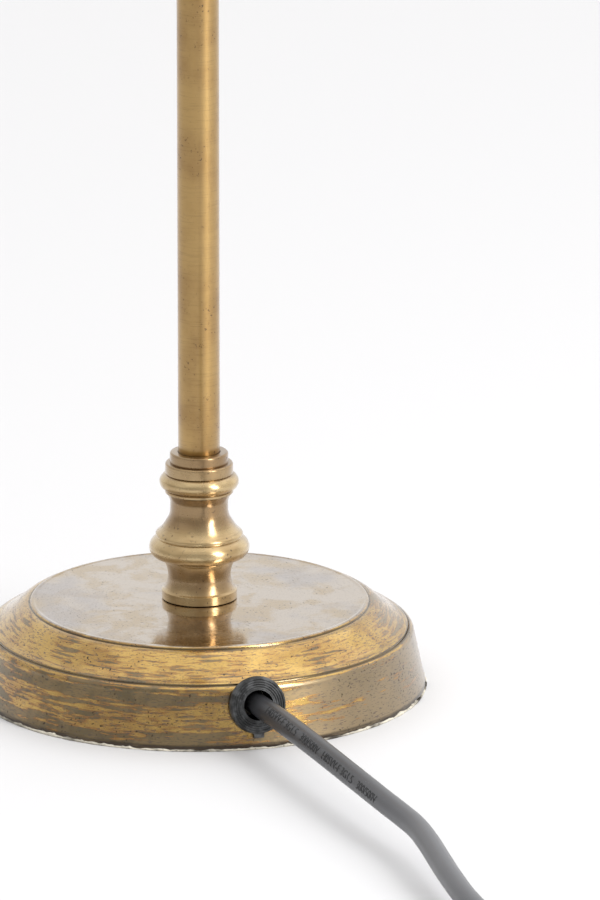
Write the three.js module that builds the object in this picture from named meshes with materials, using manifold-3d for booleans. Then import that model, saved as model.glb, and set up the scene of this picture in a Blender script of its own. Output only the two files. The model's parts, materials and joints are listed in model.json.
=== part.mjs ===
// Pharmacy floor lamp: a weighted brass base, a turned neck, a telescoping column, and a swinging
// arm with a half-barrel shade.  Millimetres, +Z up.  The origin is the centre of the base's
// underside, the arm points along +X at rest and the mains cord leaves along -X.

import * as THREE from "three";
import { mergeVertices } from "three/addons/utils/BufferGeometryUtils.js";
import Module from "manifold-3d";

const wasm = await Module();
wasm.setup();

// ---- driving dimensions ---------------------------------------------------------------------

const GAP = 0.3; // between pieces that touch or seat on each other
const RUN = 0.35; // radial clearance where one piece turns or slides in another

const BASE_R = 101.5; // rim of the spun base
const BASE_WALL = 1.2;
const RIM_Z = 0.5; // the felt carries the base just clear of the floor
const WALL_FLARE = 5.3; // how far the side wall leans in, from the rim to the shoulder
const SHOULDER_Z = 25.2;
const SHOULDER_W = 2.5; // from the shoulder in to the groove
const GROOVE_Z = 28.2;
const OGEE_W = 17.8; // from the groove in to the flat plate
const PLATE_Z = 39.8;
const PLATE_CROWN = 0.9;
const FELT_T = 2.4;
const FELT_MARGIN = 3.5;

const BALLAST_MARGIN = 13.5; // the casting stays this far inside the rim
const BALLAST_STEP_W = 18;
const BALLAST_STEP_Z = 23.5;
const BALLAST_TOP_Z = 37.5;
const BALLAST_RECESS_R = 20;
const BALLAST_RECESS_Z = 18;
const LEAD_CHANNEL_W = 13;

const NIPPLE_R = 5; // M10 x 1 hollow threaded rod through base and neck
const NIPPLE_BORE = 3.6;
const NIPPLE_BOTTOM_Z = 10.6;
const WASHER_R = 16;
const WASHER_T = 2;
const NUT_ACROSS_FLATS = 17;
const NUT_T = 4.4;

const GLAND_Z = 19.4; // height of the cord hole's centre in the side wall
const GROMMET_FLANGE_R = 12.75;
const GROMMET_FLANGE_T = 4.4;
const GROMMET_NECK_R = 7.9;
const GROMMET_BORE = 6.75;
const GROMMET_DEPTH = 6;
const GROMMET_TAB_W = 4.8;
const GROMMET_TAB_H = 1.8;

const NECK_SEAT_Z = 40.9; // underside of the turned neck, on the crown of the plate
const NECK_FOOT_TOP_Z = 59.5;
const NECK_VASE_TOP_Z = 98.6;
const RING_LOW_R = 15.2;
const RING_LOW_H = 4.6;
const RING_HIGH_R = 13.1;
const RING_HIGH_H = 4.6;

const STEM_R = 9.525; // 3/4 inch tube
const STEM_WALL = 1.2;
const STEM_TOP_Z = 760;
const STEM_BUSH_H = 24;

const MAST_R = 7.15; // 9/16 inch tube
const MAST_WALL = 1;
const MAST_BOTTOM_Z = 480;
const MAST_TOP_Z = 1100;

const COLLAR_R = 14;
const COLLAR_BELOW = 20;
const COLLAR_ABOVE = 18;
const BUSH_LEDGE = 0.625; // how far the guide bush reaches over the end of the stem
const CLAMP_SCREW_R = 2.5;
const CLAMP_KNOB_R = 9;
const CLAMP_KNOB_T = 9;

const CAP_FLANGE_R = 9.5;
const CAP_FLANGE_T = 3.7;
const SPIGOT_R = 5;
const LEAD_BORE = 3.2;
const SWIVEL_R = 11.5;
const SWIVEL_H = 18;
const SWIVEL_NUT_R = 7.8;
const SWIVEL_NUT_T = 3;

const EAR_R = 12; // round knuckle discs
const EAR_T = 5;
const TONGUE_T = 8;
const FRICTION_WASHER_T = 1;
const FRICTION_WASHER_R = 10;
const BRIDGE_DROP = 17; // from the pivot to the bridge that joins the ears
const BRIDGE_T = 5;
const STRAP_HALF_W = 8;
const TONGUE_REACH = 19; // from the pivot to the tongue's shoulder
const PIVOT_R = 3;
const PIVOT_HEAD_R = 6.5;
const PIVOT_HEAD_T = 4;
const PIVOT_KNOB_R = 9;
const PIVOT_KNOB_T = 12;

const ARM_R = 6.35; // 1/2 inch tube
const ARM_WALL = 1;
const ARM_LENGTH = 196;
const ARM_SPIGOT_LENGTH = 15;
const FERRULE_R = 8.6;
const FERRULE_W = 7;

const SHADE_R = 50;
const SHADE_LENGTH = 210;
const SHADE_WALL = 0.9;
const SHADE_END_ROUND = 13;
const SHADE_SKIRT = 8; // how far the sides reach below the shade's axis
const SHADE_FLANGE_R = 9;
const SHADE_FLANGE_T = 4;
const SHADE_STEM_R = 5;
const SHADE_WASHER_R = 12;
const SHADE_WASHER_T = 1.5;
const SHADE_NUT_T = 4;

const HOLDER_R = 14.5;
const HOLDER_CAP_L = 15;
const HOLDER_SHELL_L = 34;
const HOLDER_WALL = 1.5;
const SOCKET_R = 9;
const SOCKET_BORE = 7.4;
const BULB_CAP_R = 6.9; // E14 cap
const BULB_CAP_L = 22;
const BULB_R = 14;
const BULB_L = 78;

const SWITCH_R = 12;
const SWITCH_L = 20;
const SWITCH_BUSH_R = 4.8;
const SWITCH_NUT_R = 8;
const SWITCH_NUT_T = 2.6;
const SWITCH_SHAFT_R = 2.9;
const SWITCH_KNOB_R = 9.5;
const SWITCH_KNOB_T = 14;
const SWITCH_LEAD_R = 1.8;

const CORD_R = 5; // 3-core round PVC flex
const LEAD_R = 2.5; // the cores inside the lamp
const COIL_X = -490;
const COIL_Y = 24;
const COIL_MEAN_R = 55;
const COIL_Z = 1.2;
const COIL_TURNS_WIDE = 3;
const COIL_TURNS_HIGH = 2;
const TIE_T = 0.8;
const TIE_W = 11;
const PLUG_X = -567;
const PLUG_BOOT_Y = 52;
const PLUG_BOOT_L = 24;
const PLUG_BODY_R = 18;
const PLUG_BODY_L = 34;
const PIN_R = 2.4;
const PIN_L = 19;
const PIN_PITCH = 19;

// ---- helpers --------------------------------------------------------------------------------

const COLOURS = {
  brass: [0xb8935a, 0.25, 1],
  satin_brass: [0xb09262, 0.35, 1],
  iron: [0x4a4846, 0.8, 0.4],
  steel: [0xb4b4b0, 0.35, 1],
  nickel: [0xc9c6bd, 0.25, 1],
  felt: [0x3e4a3c, 1, 0],
  rubber: [0x3a3b3c, 0.75, 0],
  pvc: [0x5a5b5e, 0.5, 0],
  nylon: [0xe6e2d6, 0.6, 0],
  phenolic: [0x2a211c, 0.45, 0],
  ceramic: [0xefece4, 0.35, 0],
  glass: [0xf6f2e8, 0.3, 0],
};

const lamp = new THREE.Group();

function solidOf(geometry) {
  const bare = geometry.clone();
  bare.deleteAttribute("normal");
  bare.deleteAttribute("uv");
  const merged = mergeVertices(bare, 1e-4);
  const corners = merged.index.array;
  const kept = [];
  for (let i = 0; i < corners.length; i += 3) {
    const [a, b, c] = [corners[i], corners[i + 1], corners[i + 2]];
    if (a !== b && b !== c && c !== a) kept.push(a, b, c);
  }
  const vertProperties = new Float32Array(merged.attributes.position.array);
  const mesh = new wasm.Mesh({ numProp: 3, vertProperties, triVerts: new Uint32Array(kept) });
  return new wasm.Manifold(mesh);
}

function addPiece(name, solid, colour) {
  const { vertProperties, triVerts } = solid.getMesh();
  const geometry = new THREE.BufferGeometry();
  geometry.setAttribute("position", new THREE.BufferAttribute(vertProperties, 3));
  geometry.setIndex(new THREE.BufferAttribute(triVerts, 1));
  geometry.computeVertexNormals();
  const [color, roughness, metalness] = COLOURS[colour];
  const material = new THREE.MeshStandardMaterial({ color, roughness, metalness });
  const mesh = new THREE.Mesh(geometry, material);
  mesh.name = name;
  lamp.add(mesh);
  return mesh;
}

// A closed profile of [radius, height] points turned round +Z.
function turned(profile, sides = 22) {
  const points = profile.map(([r, z]) => new THREE.Vector2(r, z));
  if (THREE.ShapeUtils.area(points) < 0) points.reverse();
  const closed = profile.every(([r]) => r > 0);
  if (closed) points.push(points[0].clone());
  else while (points[0].x > 0 || points[points.length - 1].x > 0) points.push(points.shift());
  const geometry = new THREE.LatheGeometry(points, sides);
  geometry.rotateX(Math.PI / 2);
  const solid = solidOf(geometry);
  return solid.volume() > 0 ? solid : solidOf(flipped(geometry));
}

function flipped(geometry) {
  const index = geometry.index.array;
  for (let i = 0; i < index.length; i += 3) {
    const kept = index[i];
    index[i] = index[i + 1];
    index[i + 1] = kept;
  }
  return geometry;
}

function ring(rIn, rOut, z0, z1, sides) {
  return turned([[rIn, z0], [rOut, z0], [rOut, z1], [rIn, z1]], sides);
}

function disc(radius, z0, z1, sides) {
  return turned([[0, z0], [radius, z0], [radius, z1], [0, z1]], sides);
}

function block(x0, x1, y0, y1, z0, z1) {
  const geometry = new THREE.BoxGeometry(x1 - x0, y1 - y0, z1 - z0);
  geometry.translate((x0 + x1) / 2, (y0 + y1) / 2, (z0 + z1) / 2);
  return solidOf(geometry);
}

function hexNut(acrossFlats, bore, z0, z1) {
  const nut = disc(acrossFlats / Math.sqrt(3), z0, z1, 6);
  return nut.subtract(disc(bore, z0 - 1, z1 + 1, 16));
}

// A round bar or tube along a list of points.
function bar(points, radius, sides, steps) {
  const shape = new THREE.Shape();
  shape.absarc(0, 0, radius, 0, 2 * Math.PI, false);
  const route = new THREE.CatmullRomCurve3(points.map(([x, y, z]) => new THREE.Vector3(x, y, z)));
  const settings = { steps, extrudePath: route, curveSegments: sides / 2, bevelEnabled: false };
  return solidOf(new THREE.ExtrudeGeometry(shape, settings));
}

const alongX = (solid) => solid.rotate([0, 90, 0]); // a piece made on +Z, laid on +X
const alongY = (solid) => solid.rotate([-90, 0, 0]); // a piece made on +Z, laid on +Y

// ---- base -----------------------------------------------------------------------------------

const SHOULDER_R = BASE_R - WALL_FLARE;
const GROOVE_R = SHOULDER_R - SHOULDER_W;
const PLATE_R = GROOVE_R - OGEE_W;
const BALLAST_R = BASE_R - BALLAST_MARGIN;
const BALLAST_UPPER_R = BALLAST_R - BALLAST_STEP_W;
const WALL_SLOPE = WALL_FLARE / (SHOULDER_Z - RIM_Z);
const WALL_LEAN = Math.atan(WALL_SLOPE);
const GLAND_R = BASE_R - (GLAND_Z - RIM_Z) * WALL_SLOPE;

// The outline of the spun shell from the rim up to the plate, moved inwards by a wall.
function shellOutline(inset) {
  const slopeDrop = inset * 0.75;
  const ogee = new THREE.CatmullRomCurve3([
    new THREE.Vector3(GROOVE_R, GROOVE_Z, 0),
    new THREE.Vector3(GROOVE_R - 3.4, GROOVE_Z + 1.5, 0),
    new THREE.Vector3(GROOVE_R - 8.4, GROOVE_Z + 5, 0),
    new THREE.Vector3(GROOVE_R - 12.4, GROOVE_Z + 8.4, 0),
    new THREE.Vector3(PLATE_R, PLATE_Z - 0.6, 0),
  ]);
  const slope = ogee.getPoints(5).map((p) => [p.x - slopeDrop * 0.8, p.y - slopeDrop]);
  return [
    [BASE_R - inset, RIM_Z],
    [SHOULDER_R - inset, SHOULDER_Z - inset * 0.3],
    [SHOULDER_R - 0.8 - inset, SHOULDER_Z + 1.3 - inset * 0.5],
    [SHOULDER_R - 1.9 - inset * 0.8, SHOULDER_Z + 2.2 - inset],
    [GROOVE_R + 0.3 - inset * 0.8, GROOVE_Z - 0.7 - inset],
    ...slope,
    [PLATE_R - 0.5 - slopeDrop, PLATE_Z - slopeDrop * 1.2],
    [PLATE_R - 3 - slopeDrop, PLATE_Z + 0.4 - inset],
    [PLATE_R / 2, PLATE_Z + PLATE_CROWN * 0.75 - inset],
  ];
}

const plateTop = PLATE_Z + PLATE_CROWN;
const glandPlace = (solid) => solid
  .rotate([0, -90 + THREE.MathUtils.radToDeg(WALL_LEAN), 0])
  .translate([-GLAND_R, 0, GLAND_Z]);

function baseShell() {
  const bore = NIPPLE_R + GAP;
  const outer = shellOutline(0);
  const inner = shellOutline(BASE_WALL).reverse();
  const top = [[bore, plateTop], [bore, plateTop - BASE_WALL]];
  const shell = turned([...outer, ...top, ...inner], 40);
  const hole = glandPlace(disc(GROMMET_NECK_R + GAP, -GROMMET_DEPTH - 2, GROMMET_FLANGE_T, 16));
  return shell.subtract(hole);
}

function ballast() {
  const z0 = FELT_T + GAP;
  const body = turned([
    [NIPPLE_R + GAP, BALLAST_RECESS_Z], [BALLAST_RECESS_R, BALLAST_RECESS_Z], [BALLAST_RECESS_R, z0],
    [BALLAST_R, z0], [BALLAST_R, BALLAST_STEP_Z - 3], [BALLAST_R - 3, BALLAST_STEP_Z],
    [BALLAST_UPPER_R, BALLAST_STEP_Z + 4], [BALLAST_UPPER_R - 4, BALLAST_TOP_Z],
    [NIPPLE_R + GAP, BALLAST_TOP_Z],
  ], 30);
  const half = LEAD_CHANNEL_W / 2;
  const slot = block(-BALLAST_R - 5, -BALLAST_RECESS_R + 3, -half, half, z0 - 1, GLAND_Z + half);
  return body.subtract(slot);
}

function grommet() {
  const rIn = GROMMET_BORE;
  const t = GROMMET_FLANGE_T;
  const rOut = GROMMET_FLANGE_R;
  const body = turned([
    [rIn, -GROMMET_DEPTH], [GROMMET_NECK_R, -GROMMET_DEPTH], [GROMMET_NECK_R, GAP], [rOut, GAP],
    [rOut, t * 0.55], [rOut - 0.9, t * 0.85], [rOut - 2.6, t], [rIn + 1, t], [rIn, t - 1],
  ], 18);
  const half = GROMMET_TAB_W / 2;
  const reach = rOut + GROMMET_TAB_H;
  const tab = block(-reach, -rOut + 1.5, -half, half, GAP, t * 0.45);
  return glandPlace(body.add(tab));
}

addPiece("felt_pad", disc(BASE_R - BASE_WALL - FELT_MARGIN, 0, FELT_T, 48), "felt");
addPiece("base_shell", baseShell(), "brass");
addPiece("ballast_weight", ballast(), "iron");
addPiece("cord_grommet", grommet(), "rubber");

const washerTop = BALLAST_RECESS_Z - GAP;
const nutTop = washerTop - WASHER_T - GAP;
const nipplePlace = NIPPLE_R + GAP;
addPiece("base_washer", ring(nipplePlace, WASHER_R, washerTop - WASHER_T, washerTop, 18), "steel");
const baseNut = hexNut(NUT_ACROSS_FLATS, nipplePlace, nutTop - NUT_T, nutTop);
addPiece("base_lock_nut", baseNut, "steel");

// ---- turned neck ----------------------------------------------------------------------------

const ringLowZ = NECK_VASE_TOP_Z + GAP;
const ringHighZ = ringLowZ + RING_LOW_H + GAP;
const stemBottomZ = ringLowZ;
const stemBushTop = stemBottomZ + STEM_BUSH_H;
const nippleTop = stemBushTop + 3;

function neckFoot() {
  const z = NECK_SEAT_Z;
  return turned([
    [nipplePlace, z], [16.85, z], [16.85, z + 4.3], [15.9, z + 5.4], [14.6, z + 7.6],
    [14.1, z + 10.1], [14.5, z + 13.6], [15.5, z + 16.8], [16.6, NECK_FOOT_TOP_Z],
    [nipplePlace, NECK_FOOT_TOP_Z],
  ], 18);
}

function neckVase() {
  const z = NECK_FOOT_TOP_Z + GAP;
  return turned([
    [nipplePlace, z], [17.4, z], [20.6, z + 1.2], [22.2, z + 3.1], [22.4, z + 5.4],
    [21.4, z + 7.8], [19.9, z + 9.6], [19.4, z + 10.6], [19.5, z + 11.4], [17.3, z + 13.4],
    [15.9, z + 15.3], [14.6, z + 17.2], [13.4, z + 19.6], [13, z + 22.6], [13.1, z + 26.6],
    [13.9, z + 28.4], [15.2, z + 31.2], [15.8, z + 32.6], [17.3, z + 33.8], [17.7, z + 35.8],
    [17.2, z + 37.6], [15.6, NECK_VASE_TOP_Z], [nipplePlace, NECK_VASE_TOP_Z],
  ], 18);
}

function neckRing(radius, z, height) {
  const rIn = STEM_R + GAP;
  return turned([
    [rIn, z], [radius - 0.9, z], [radius, z + 1], [radius, z + height - 1],
    [radius - 0.9, z + height], [rIn, z + height],
  ], 18);
}

addPiece("neck_foot", neckFoot(), "satin_brass");
addPiece("neck_vase", neckVase(), "satin_brass");
addPiece("neck_ring_lower", neckRing(RING_LOW_R, ringLowZ, RING_LOW_H), "satin_brass");
addPiece("neck_ring_upper", neckRing(RING_HIGH_R, ringHighZ, RING_HIGH_H), "satin_brass");
addPiece("base_nipple", ring(NIPPLE_BORE, NIPPLE_R, NIPPLE_BOTTOM_Z, nippleTop, 16), "steel");

// ---- stem -----------------------------------------------------------------------------------

const stemBore = STEM_R - STEM_WALL;
addPiece("stem_tube", ring(stemBore, STEM_R, stemBottomZ, STEM_TOP_Z, 18), "satin_brass");
const stemBush = ring(nipplePlace, stemBore - GAP, stemBottomZ, stemBushTop, 16);
addPiece("stem_foot_bush", stemBush, "brass");

const collarBottom = STEM_TOP_Z - COLLAR_BELOW;
const collarTop = STEM_TOP_Z + COLLAR_ABOVE;
const bushOut = stemBore + BUSH_LEDGE;
const clampZ = STEM_TOP_Z + COLLAR_ABOVE / 2;
const clampBore = alongY(disc(CLAMP_SCREW_R + RUN, 0, COLLAR_R + 5, 16)).translate([0, 0, clampZ]);

function clampCollar() {
  const rIn = STEM_R + GAP;
  const seat = STEM_TOP_Z + GAP;
  const body = turned([
    [rIn, collarBottom], [COLLAR_R - 2.5, collarBottom], [COLLAR_R - 1.4, collarBottom + 2.5],
    [COLLAR_R - 1.4, collarBottom + 12], [COLLAR_R, collarBottom + 14.5], [COLLAR_R, collarTop - 3],
    [COLLAR_R - 1.6, collarTop - 0.8], [COLLAR_R - 3.5, collarTop], [bushOut + GAP, collarTop],
    [bushOut + GAP, seat], [rIn, seat],
  ], 18);
  return body.subtract(clampBore);
}

addPiece("clamp_collar", clampCollar(), "brass");
const bushBottom = STEM_TOP_Z + 2 * GAP;
const guideBush = ring(MAST_R + GAP, bushOut, bushBottom, collarTop - 0.5, 32).subtract(clampBore);
addPiece("guide_bush", guideBush, "nylon");

function thumbScrew() {
  const tip = MAST_R + RUN;
  const head = COLLAR_R + 2;
  const shank = turned([
    [0, tip], [CLAMP_SCREW_R, tip], [CLAMP_SCREW_R, head], [CLAMP_KNOB_R - 2, head],
    [CLAMP_KNOB_R, head + 1.5], [CLAMP_KNOB_R, head + CLAMP_KNOB_T - 1.5],
    [CLAMP_KNOB_R - 1.5, head + CLAMP_KNOB_T], [0, head + CLAMP_KNOB_T],
  ], 16);
  return alongY(shank).translate([0, 0, clampZ]);
}

addPiece("clamp_thumbscrew", thumbScrew(), "brass");

// ---- telescoping mast -----------------------------------------------------------------------

const mastBore = MAST_R - MAST_WALL;
addPiece("mast_tube", ring(mastBore, MAST_R, MAST_BOTTOM_Z, MAST_TOP_Z, 18), "satin_brass");
const footBush = ring(MAST_R + 0.15, stemBore - GAP, MAST_BOTTOM_Z + 2, MAST_BOTTOM_Z + 22, 18);
addPiece("mast_foot_bush", footBush, "nylon");

const capTop = MAST_TOP_Z + GAP + CAP_FLANGE_T;
const swivelBottom = capTop + GAP;
const swivelTop = swivelBottom + SWIVEL_H;
const swivelNutZ = swivelTop - SWIVEL_NUT_T - 1.2;

function mastCap() {
  return turned([
    [LEAD_BORE, MAST_TOP_Z - 22], [mastBore - GAP, MAST_TOP_Z - 22],
    [mastBore - GAP, MAST_TOP_Z + GAP], [CAP_FLANGE_R, MAST_TOP_Z + GAP], [CAP_FLANGE_R, capTop],
    [SPIGOT_R, capTop], [SPIGOT_R, swivelTop - 1], [LEAD_BORE, swivelTop - 1],
  ], 18);
}

function swivelBody() {
  const counterbore = SWIVEL_NUT_R + RUN;
  const z = swivelBottom;
  return turned([
    [SPIGOT_R + RUN, z], [SWIVEL_R - 2.5, z], [SWIVEL_R - 1.5, z + 1.5], [SWIVEL_R - 1.5, z + 6],
    [SWIVEL_R, z + 8], [SWIVEL_R, swivelTop - 2], [SWIVEL_R - 1.2, swivelTop],
    [counterbore, swivelTop], [counterbore, swivelNutZ - RUN], [SPIGOT_R + RUN, swivelNutZ - RUN],
  ], 18);
}

addPiece("mast_cap", mastCap(), "brass");
addPiece("swivel_body", swivelBody(), "brass");
const swivelNut = ring(SPIGOT_R + 0.2, SWIVEL_NUT_R, swivelNutZ, swivelNutZ + SWIVEL_NUT_T, 16);
addPiece("swivel_nut", swivelNut, "steel");

// ---- knuckle joints -------------------------------------------------------------------------

const earInner = TONGUE_T / 2 + FRICTION_WASHER_T + 2 * GAP;
const earOuter = earInner + EAR_T;
const pivotHole = PIVOT_R + RUN;

// Two ears on a bridge, pivot at the origin along Y, the bridge below at -Z.
function clevis(spigotLength) {
  const bridgeTop = -BRIDGE_DROP;
  const bridgeBottom = bridgeTop - BRIDGE_T;
  const ears = [-1, 1].map((side) => {
    const y0 = side > 0 ? earInner : -earOuter;
    const round = alongY(disc(EAR_R, y0, y0 + EAR_T, 32));
    return round.add(block(-STRAP_HALF_W, STRAP_HALF_W, y0, y0 + EAR_T, bridgeTop - 2, 0));
  });
  const bridge = block(-STRAP_HALF_W, STRAP_HALF_W, -earOuter, earOuter, bridgeBottom, bridgeTop);
  let body = ears[0].add(ears[1]).add(bridge);
  if (spigotLength > 0) {
    const spigot = disc(ARM_R - ARM_WALL - GAP, bridgeBottom - spigotLength, bridgeBottom + 1, 16);
    body = body.add(spigot);
  }
  const bore = disc(LEAD_BORE, bridgeBottom - spigotLength - 1, bridgeTop + 1, 16);
  const hole = alongY(disc(pivotHole, -earOuter - 1, earOuter + 1, 16));
  return body.subtract(bore).subtract(hole);
}

// A disc between the ears with a shoulder and a round stem along +X.
function tongue(stemProfile) {
  const half = TONGUE_T / 2;
  const round = alongY(disc(EAR_R - GAP, -half, half, 32));
  const neck = block(0, TONGUE_REACH - 1, -half, half, -half, half);
  const stem = alongX(turned(stemProfile, 18));
  const hole = alongY(disc(pivotHole, -half - 1, half + 1, 16));
  return round.add(neck).add(stem).subtract(hole);
}

function pivotScrew() {
  const screw = turned([
    [0, -earOuter - GAP - PIVOT_HEAD_T], [PIVOT_HEAD_R, -earOuter - GAP - PIVOT_HEAD_T],
    [PIVOT_HEAD_R, -earOuter - GAP], [PIVOT_R, -earOuter - GAP], [PIVOT_R, earOuter + 7],
    [0, earOuter + 7],
  ], 16);
  return alongY(screw);
}

function pivotKnob() {
  const z = earOuter + GAP;
  const knob = turned([
    [pivotHole, z], [PIVOT_KNOB_R - 2.5, z], [PIVOT_KNOB_R - 2.5, z + 2.5], [PIVOT_KNOB_R, z + 4],
    [PIVOT_KNOB_R, z + PIVOT_KNOB_T - 1.5], [PIVOT_KNOB_R - 1.5, z + PIVOT_KNOB_T],
    [0, z + PIVOT_KNOB_T], [0, z + 7.4], [pivotHole, z + 7.4],
  ], 16);
  return alongY(knob);
}

function frictionWasher(side) {
  const z0 = side > 0 ? TONGUE_T / 2 + GAP : -TONGUE_T / 2 - GAP - FRICTION_WASHER_T;
  return alongY(ring(pivotHole, FRICTION_WASHER_R, z0, z0 + FRICTION_WASHER_T, 16));
}

function addKnuckle(prefix, place) {
  addPiece(`${prefix}_washer_near`, place(frictionWasher(-1)), "nylon");
  addPiece(`${prefix}_washer_far`, place(frictionWasher(1)), "nylon");
  addPiece(`${prefix}_pivot_screw`, place(pivotScrew()), "steel");
  addPiece(`${prefix}_knob`, place(pivotKnob()), "brass");
}

const pivotZ = swivelTop + GAP + BRIDGE_T + BRIDGE_DROP;
const atHead = (solid) => solid.translate([0, 0, pivotZ]);

addPiece("head_clevis", atHead(clevis(0)), "brass");
addKnuckle("head", atHead);

const armStart = TONGUE_REACH + GAP;
const armBore = ARM_R - ARM_WALL;
const armSpigotEnd = armStart + ARM_SPIGOT_LENGTH;
const armTongue = tongue([
  [0, TONGUE_REACH - 3], [ARM_R, TONGUE_REACH - 3], [ARM_R, TONGUE_REACH],
  [armBore - GAP, TONGUE_REACH], [armBore - GAP, armSpigotEnd], [LEAD_BORE, armSpigotEnd],
  [LEAD_BORE, TONGUE_REACH + 4], [0, TONGUE_REACH + 4],
]);
addPiece("arm_knuckle", atHead(armTongue), "brass");

const armEnd = armStart + ARM_LENGTH;
const armTube = alongX(ring(armBore, ARM_R, armStart, armEnd, 18));
addPiece("arm_tube", atHead(armTube), "satin_brass");

function ferrule(x) {
  const rIn = ARM_R + 0.2;
  const r = FERRULE_R;
  return atHead(alongX(turned([
    [rIn, x], [r - 1.2, x], [r, x + 1.5], [r, x + FERRULE_W - 1.5], [r - 1.2, x + FERRULE_W],
    [rIn, x + FERRULE_W],
  ], 18)));
}

addPiece("arm_ferrule_inner", ferrule(armStart + 1), "brass");
addPiece("arm_ferrule_outer", ferrule(armEnd - 1 - FERRULE_W), "brass");

const endPivotX = armEnd + GAP + BRIDGE_T + BRIDGE_DROP;
const atArmEnd = (solid) => solid.translate([endPivotX, 0, pivotZ]);
addPiece("arm_end_clevis", atArmEnd(clevis(ARM_SPIGOT_LENGTH).rotate([0, 90, 0])), "brass");
addKnuckle("shade", atArmEnd);

// ---- shade and lampholder -------------------------------------------------------------------

const flangeEnd = TONGUE_REACH + SHADE_FLANGE_T;
const outerWasherX = flangeEnd + GAP;
const shadeX = outerWasherX + SHADE_WASHER_T + GAP;
const innerWasherX = shadeX + SHADE_WALL + GAP;
const shadeNutX = innerWasherX + SHADE_WASHER_T + GAP;
const holderX = shadeNutX + SHADE_NUT_T + GAP;
const stemEnd = holderX + 6;
const shadeBore = SHADE_STEM_R + RUN;

const shadeKnuckle = tongue([
  [0, TONGUE_REACH - 3], [SHADE_FLANGE_R - 1, TONGUE_REACH - 3], [SHADE_FLANGE_R, TONGUE_REACH - 2],
  [SHADE_FLANGE_R, flangeEnd], [SHADE_STEM_R, flangeEnd], [SHADE_STEM_R, stemEnd],
  [LEAD_BORE, stemEnd], [LEAD_BORE, TONGUE_REACH], [0, TONGUE_REACH],
]);
addPiece("shade_knuckle", atArmEnd(shadeKnuckle), "brass");

function barrel(inset, x0, x1) {
  const radius = SHADE_R - inset;
  const round = SHADE_END_ROUND - inset;
  const corner = (x, from, to) => {
    const arc = [];
    for (let i = 0; i <= 3; i += 1) {
      const angle = from + ((to - from) * i) / 3;
      arc.push([radius - round + round * Math.cos(angle), x + round * Math.sin(angle)]);
    }
    return arc;
  };
  const near = corner(x0 + inset + round, -Math.PI / 2, 0);
  const far = corner(x1 - inset - round, 0, Math.PI / 2);
  return alongX(turned([[0, x0 + inset], ...near, ...far, [0, x1 - inset]], 30));
}

function shadeShell() {
  const x1 = shadeX + SHADE_LENGTH;
  const solid = barrel(0, shadeX, x1).subtract(barrel(SHADE_WALL, shadeX, x1));
  const below = block(shadeX - 5, x1 + 5, -SHADE_R - 5, SHADE_R + 5, -SHADE_R - 5, -SHADE_SKIRT);
  const nearHole = alongX(disc(shadeBore, shadeX - 1, shadeX + 5, 18));
  const farHole = alongX(disc(SWITCH_BUSH_R + GAP, x1 - 5, x1 + 1, 16));
  return solid.subtract(below).subtract(nearHole).subtract(farHole);
}

addPiece("shade_shell", atArmEnd(shadeShell()), "brass");

function shadeWasher(x) {
  return atArmEnd(alongX(ring(shadeBore, SHADE_WASHER_R, x, x + SHADE_WASHER_T, 16)));
}

addPiece("shade_washer_outer", shadeWasher(outerWasherX), "nylon");
addPiece("shade_washer_inner", shadeWasher(innerWasherX), "nylon");
const shadeNutEnd = shadeNutX + SHADE_NUT_T;
const shadeNut = hexNut(NUT_ACROSS_FLATS, SHADE_STEM_R + GAP, shadeNutX, shadeNutEnd);
addPiece("shade_nut", atArmEnd(alongX(shadeNut)), "steel");

const holderShellX = holderX + HOLDER_CAP_L + GAP;
const socketX = holderShellX + 2;
const socketEnd = holderShellX + HOLDER_SHELL_L - 1;

function holderCap() {
  return atArmEnd(alongX(turned([
    [SHADE_STEM_R + GAP, holderX], [HOLDER_R - 5, holderX], [HOLDER_R - 1.5, holderX + 4],
    [HOLDER_R, holderX + 8], [HOLDER_R, holderX + HOLDER_CAP_L],
    [HOLDER_R - HOLDER_WALL, holderX + HOLDER_CAP_L], [HOLDER_R - HOLDER_WALL, holderX + 8],
    [SHADE_STEM_R + GAP, holderX + 5],
  ], 18)));
}

addPiece("lampholder_cap", holderCap(), "brass");
const holderEnd = holderShellX + HOLDER_SHELL_L;
const holderShell = ring(HOLDER_R - HOLDER_WALL, HOLDER_R, holderShellX, holderEnd, 18);
addPiece("lampholder_shell", atArmEnd(alongX(holderShell)), "brass");

function socketCore() {
  const rOut = HOLDER_R - HOLDER_WALL - GAP;
  const bottom = socketX + 8;
  return atArmEnd(alongX(turned([
    [0, socketX], [rOut, socketX], [rOut, bottom + 4], [SOCKET_R + 1.8, bottom + 4],
    [SOCKET_R + 1.8, socketEnd], [SOCKET_R + GAP, socketEnd], [SOCKET_R + GAP, bottom], [0, bottom],
  ], 18)));
}

addPiece("lampholder_insulator", socketCore(), "ceramic");
const threadX = socketX + 8 + GAP;
const thread = ring(SOCKET_BORE, SOCKET_R, threadX, socketEnd, 16);
addPiece("lampholder_thread", atArmEnd(alongX(thread)), "nickel");

const bulbCapX = threadX + 1.5;
const bulbX = bulbCapX + BULB_CAP_L + GAP;
const bulbCap = turned([
  [0, bulbCapX], [2.4, bulbCapX], [BULB_CAP_R, bulbCapX + 3.5], [BULB_CAP_R, bulbCapX + BULB_CAP_L],
  [0, bulbCapX + BULB_CAP_L],
], 16);
addPiece("bulb_cap", atArmEnd(alongX(bulbCap)), "nickel");

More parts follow.
